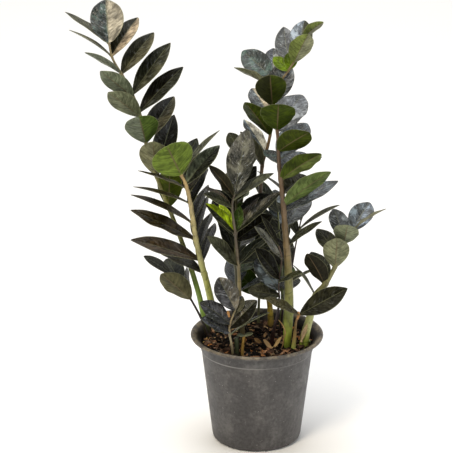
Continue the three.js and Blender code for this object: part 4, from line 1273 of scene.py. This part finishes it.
class PLANT_OT_bark(bpy.types.Operator):
    """Strews bark chips over the compost, and lays the few that stand out"""

    bl_idname = "plant.bark"
    bl_label = "Bark chips"

    def execute(self, context):
        pot, look = context.scene.pot_look, context.scene.compost_look
        draw = seeded_draw(CHIP_SEED)
        surface = Surface()
        reach = inner_radius(pot, SOIL_TOP) - 2.6
        limits = np.cumsum([share for _, share in BARK])
        for _ in range(look.chips):
            radius, turn = reach * math.sqrt(draw()), 2 * math.pi * draw()
            x, y = radius * math.cos(turn), radius * math.sin(turn)
            long = look.chip_length / MM * (0.45 + 1.1 * draw() ** 2)
            size = np.array([long, long * (0.4 + 0.45 * draw()), long * (0.25 + 0.35 * draw())])
            code, _ = BARK[int(np.searchsorted(limits, draw() * limits[-1]))]
            tone = shaded(linear(code), draw, BARK_SPREAD)
            tilt = (46 * (draw() - 0.5), 60 * (draw() - 0.5))
            lift = size[2] * (0.1 + 0.55 * draw())
            add_chip(surface, (x, y, soil_height(x, y) + lift), size, 360 * draw(), tilt, tone, draw)
        for x, y, long, wide, turn, code in NOTED_CHIPS:
            centre = (x, y, soil_height(x, y) + NOTED_LIFT)
            add_chip(surface, centre, (long, wide, 0.45 * wide), turn, NOTED_TILT, linear(code), draw)
        placed_piece(surface.make("bark_chips", [bark_finish(look)], 30), "compost")
        return {"FINISHED"}


# Centre, and half length, half width and half height of each rhizome, as its solid has them
RHIZOMES = {
    "rhizome_left": ((-45, 14, 84), (15, 20, 16)),
    "rhizome_front": ((-22, -20, 84), (18, 22, 16)),
    "rhizome_centre": ((0, 10, 84), (22, 10, 14)),
    "rhizome_right": ((41, -18, 84), (16, 20, 16)),
    "rhizome_back": ((10, 40, 84), (28, 18, 16)),
}
RHIZOME_ROWS, RHIZOME_SIDES = 40, 56
RHIZOME_LUMP = 0.05  # how far a rhizome's skin stands in, as a share of its size
RHIZOME_RIDGES, RIDGE_HEIGHT = 9, 0.3


class PLANT_OT_rhizomes(bpy.types.Operator):
    """Makes the lumpy tubers that the stalks rise from"""

    bl_idname = "plant.rhizomes"
    bl_label = "Rhizomes"

    def execute(self, context):
        skin = rhizome_finish(context.scene.compost_look)
        levels = np.pi * (np.arange(RHIZOME_ROWS) + 0.5) / RHIZOME_ROWS
        polar, turn = np.meshgrid(levels, turns(RHIZOME_SIDES), indexing="ij")
        out = np.sin(polar)
        unit = np.stack([out * np.cos(turn), out * np.sin(turn), -np.cos(polar)], axis=-1)
        ridge = np.sin(polar * RHIZOME_RIDGES) * RIDGE_HEIGHT
        for name, (centre, radii) in RHIZOMES.items():
            lump = [noise.noise(Vector(u) * 1.9 + Vector(centre)) for u in unit.reshape(-1, 3)]
            uneven = np.clip(np.array(lump).reshape(polar.shape) + ridge, -1, 1)
            size = 1 - RHIZOME_LUMP * (1 + uneven) / 2
            surface = Surface()
            surface.add(unit * size[..., None] * radii + centre, ring_faces(*polar.shape))
            placed_piece(surface.make(name + "_tuber", [skin]), "rhizome", name)
        return {"FINISHED"}


# Fronds

SHOOT_SEED, SHOOT_SEED_STEP = 900, 7
GLOSSY_SPECULAR, DULL_SPECULAR = 0.42, 0.09


def tones_of(look, halves, draw):
    """The tints of a leaflet's upper face and underside, each for its two halves."""
    light, warm = 1 + 0.4 * (draw() - 0.5), 1 + 0.2 * (draw() - 0.5)
    own = np.array([light * warm, light, light / warm, 1.0])
    faces = ("_upper", "_underside")
    return [[np.array(getattr(look, half + face)) * own for half in halves] for face in faces]


def grow(look, shoots, slot_of):
    """Makes each shoot's stalk and leaflets as one piece."""
    blades = place_leaflets()
    # The last number of each upper finish is the share of its painted highlight and painted shade patches.
    finishes = [
        leaf_upper_finish(look, "leaf_upper_glossy", GLOSSY_SPECULAR, 0.55, 2.2, look.dark_margin_and_shade, 0.75),
        leaf_upper_finish(look, "leaf_upper_dull", DULL_SPECULAR, 0.45, 1.0, look.margin, 0.16),
        leaf_underside_finish(look),
        stalk_finish(look),
        papery_finish(),
    ]
    for number, shoot in enumerate(SHOOTS):
        if shoot.name not in shoots:
            continue
        draw = seeded_draw(SHOOT_SEED + SHOOT_SEED_STEP * number)
        own = [blade for blade in blades if blade.shoot == shoot.name]
        surface = Surface()
        add_stalk(surface, shoot, own)
        for blade in own:
            # Two kinds on one leaflet mostly paint light: one half lighter as a painted highlight.
            halves = (blade.kind.split("/") * 2)[:2]
            upper, under = tones_of(look, halves, draw)
            uppers = [GLOSSY_SLOT if half in GLOSSY_KINDS else DULL_SLOT for half in halves]
            add_blade(surface, blade, upper, under, draw, uppers)
        piece = surface.make(shoot.name + "_grown", finishes)
        placed_piece(piece, slot_of(shoot.name), shoot.name)


class PLANT_OT_fronds(bpy.types.Operator):
    """Grows the leafy fronds: each a stalk with its leaflets"""

    bl_idname = "plant.fronds"
    bl_label = "Fronds"

    def execute(self, context):
        leafy = [shoot.name for shoot in SHOOTS if shoot.name not in CUT_ENDS]
        grow(context.scene.foliage_look, leafy, lambda name: "foliage")
        return {"FINISHED"}


class PLANT_OT_stubs(bpy.types.Operator):
    """Makes the cut stalk ends that stand in the compost"""

    bl_idname = "plant.stubs"
    bl_label = "Cut stalk ends"

    def execute(self, context):
        look = context.scene.foliage_look
        grow(look, CUT_ENDS, lambda name: "dead_stalk" if name == "stub_tan" else "foliage")
        return {"FINISHED"}


# Dry scales at the stalks' feet: root, lean, lift, turn, length, width, colour
DRY_SCALES = [
    ((19.5, -22.5, 129.6), -58, 24, 40, 20, 7.5, "#c2a273"),
    ((19.8, -22.0, 129.6), 50, 18, -48, 21, 6.5, "#b3925f"),
    ((6.5, -6.0, 129.4), -64, 8, 30, 13, 6, "#ab8350"),
    ((24, -14, 132), 18, 28, 25, 13, 7, "#9a7a50"),
    ((-35.5, -50.6, 184), -14, 0, 0, 9, 3.6, "#a8743c"),
    ((50.4, -38.2, 176), 16, 5, -20, 11, 4, "#9c7448"),
    ((55.8, -25.5, 140), 12, 8, 20, 26, 6, "#a98c66"),
]
SCALE_SEED = 271
SCALE_FOLD, SCALE_ARCH = 0.55, -0.3
TENDRIL = [
    (26.7, -34, 173.4), (31.1, -34, 167.9), (34.4, -34, 160.4), (35.3, -33, 154), (33.5, -30, 146),
    (33, -27, 138), (31, -25, 131),
]
TENDRIL_RINGS, TENDRIL_SIDES = 60, 8
TENDRIL_RADII = [0, 3, 6], [0.4, 0.9, 0.5]  # at the points of its route, and the radius there


class PLANT_OT_scales(bpy.types.Operator):
    """Makes the dry scales at the feet of the stalks, and a curled tendril of dead stalk"""

    bl_idname = "plant.scales"
    bl_label = "Dry scales"

    def execute(self, context):
        draw = seeded_draw(SCALE_SEED)
        surface = Surface()
        for root, lean, lift, turn, long, wide, code in DRY_SCALES:
            blade = Blade("", root, (RIGHT, UP, FRONT), turn, long, wide, SCALE_FOLD, SCALE_ARCH, "dry")
            blade.aim(lean, lift)
            tones = [shaded(linear(code), draw)] * 2
            add_blade(surface, blade, tones, tones, draw, paper=True)
        places = np.linspace(0, len(TENDRIL) - 1, TENDRIL_RINGS)
        points = [route_point(TENDRIL, at) for at in places]
        radii = np.interp(places, *TENDRIL_RADII)
        add_tube(surface, points, radii, linear("#a98657"), PAPER_SLOT, TENDRIL_SIDES)
        placed_piece(surface.make("dry_scales", [papery_finish()] * (PAPER_SLOT + 1)), "dead_stalk")
        return {"FINISHED"}


# Stage, in metres

FLOOR_REACH, FLOOR_LEVEL = 9000, -0.5  # in millimetres
FLOOR_CORNERS = ((-1, -1), (1, -1), (1, 1), (-1, 1))
MIDDLE = (-0.02, 0, 0.3)  # of the plant
# Place, aim, size, power and tint of each soft light
SOFTBOXES = {
    "warm_softbox": ((-0.85, -1.55, 2.1), MIDDLE, 0.7, 38, (1.0, 0.9, 0.74)),
    "cool_softbox": ((-0.3, 0.1, 2.6), MIDDLE, 1.4, 30, (0.93, 0.96, 1.0)),
    "right_softbox": ((1.9, -0.9, 1.2), MIDDLE, 1.2, 12, (0.96, 0.98, 1.0)),
    "back_softbox": ((0.0, 2.8, 3.6), (0, 1.8, 0), 4.0, 115, (1.0, 1.0, 1.0)),
}


class PLANT_OT_stage(bpy.types.Operator):
    """Sets the pale floor, the soft lights and the camera"""

    bl_idname = "plant.stage"
    bl_label = "Stage"

    def execute(self, context):
        look = context.scene.stage_look
        surface = Surface()
        corners = [(x * FLOOR_REACH, y * FLOOR_REACH, FLOOR_LEVEL) for x, y in FLOOR_CORNERS]
        surface.add(corners, [[0, 1, 2, 3]])
        finish = Finish("pale_floor", 0.9)
        finish.put(look.floor, finish.shader.inputs["Base Color"])
        surface.make("floor", [finish.material])
        world = bpy.data.worlds.new("even_light")
        world.use_nodes = True
        sky = world.node_tree.nodes["Background"]
        sky.inputs["Color"].default_value = (1, 0.985, 0.96, 1)
        sky.inputs["Strength"].default_value = look.sky
        context.scene.world = world
        for name, (place, target, size, power, tone) in SOFTBOXES.items():
            light = bpy.data.lights.new(name, "AREA")
            light.shape, light.size, light.energy, light.color = "SQUARE", size, power, tone
            lamp = bpy.data.objects.new(name, light)
            lamp.location = place
            lamp.rotation_euler = (Vector(target) - Vector(place)).to_track_quat("-Z", "Y").to_euler()
            context.scene.collection.objects.link(lamp)
        view = bpy.data.objects.new("camera", bpy.data.cameras.new("camera"))
        view.data.lens = look.lens
        view.location = look.viewpoint
        view.rotation_euler = (math.pi / 2 - look.pitch, 0, 0)
        context.scene.collection.objects.link(view)
        context.scene.camera = view
        context.scene.view_settings.view_transform = "Standard"
        return {"FINISHED"}


class PLANT_PT_maker(bpy.types.Panel):
    bl_label = "Potted zz plant"
    bl_space_type = "VIEW_3D"
    bl_region_type = "UI"
    bl_category = "Zz plant"

    def draw(self, context):
        for maker in MAKERS:
            self.layout.operator(maker.bl_idname)
        for name in LOOKS:
            look = getattr(context.scene, name)
            box = self.layout.box()
            box.label(text=name.replace("_", " ").capitalize())
            for field in look.__annotations__:
                box.prop(look, field)


LOOKS = {
    "pot_look": PotLook,
    "compost_look": CompostLook,
    "foliage_look": FoliageLook,
    "stage_look": StageLook,
}
MAKERS = (
    PLANT_OT_stage,
    PLANT_OT_pot,
    PLANT_OT_compost,
    PLANT_OT_bark,
    PLANT_OT_rhizomes,
    PLANT_OT_fronds,
    PLANT_OT_stubs,
    PLANT_OT_scales,
)


def register():
    for kind in (*LOOKS.values(), *MAKERS, PLANT_PT_maker):
        bpy.utils.register_class(kind)
    for name, kind in LOOKS.items():
        setattr(bpy.types.Scene, name, PointerProperty(type=kind))


def unregister():
    for name in LOOKS:
        delattr(bpy.types.Scene, name)
    for kind in (PLANT_PT_maker, *reversed(MAKERS), *LOOKS.values()):
        bpy.utils.unregister_class(kind)


def main():
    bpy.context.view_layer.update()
    register()
    for maker in MAKERS:
        group, name = maker.bl_idname.split(".")
        getattr(getattr(bpy.ops, group), name)()


if __name__ == "__main__":
    main()
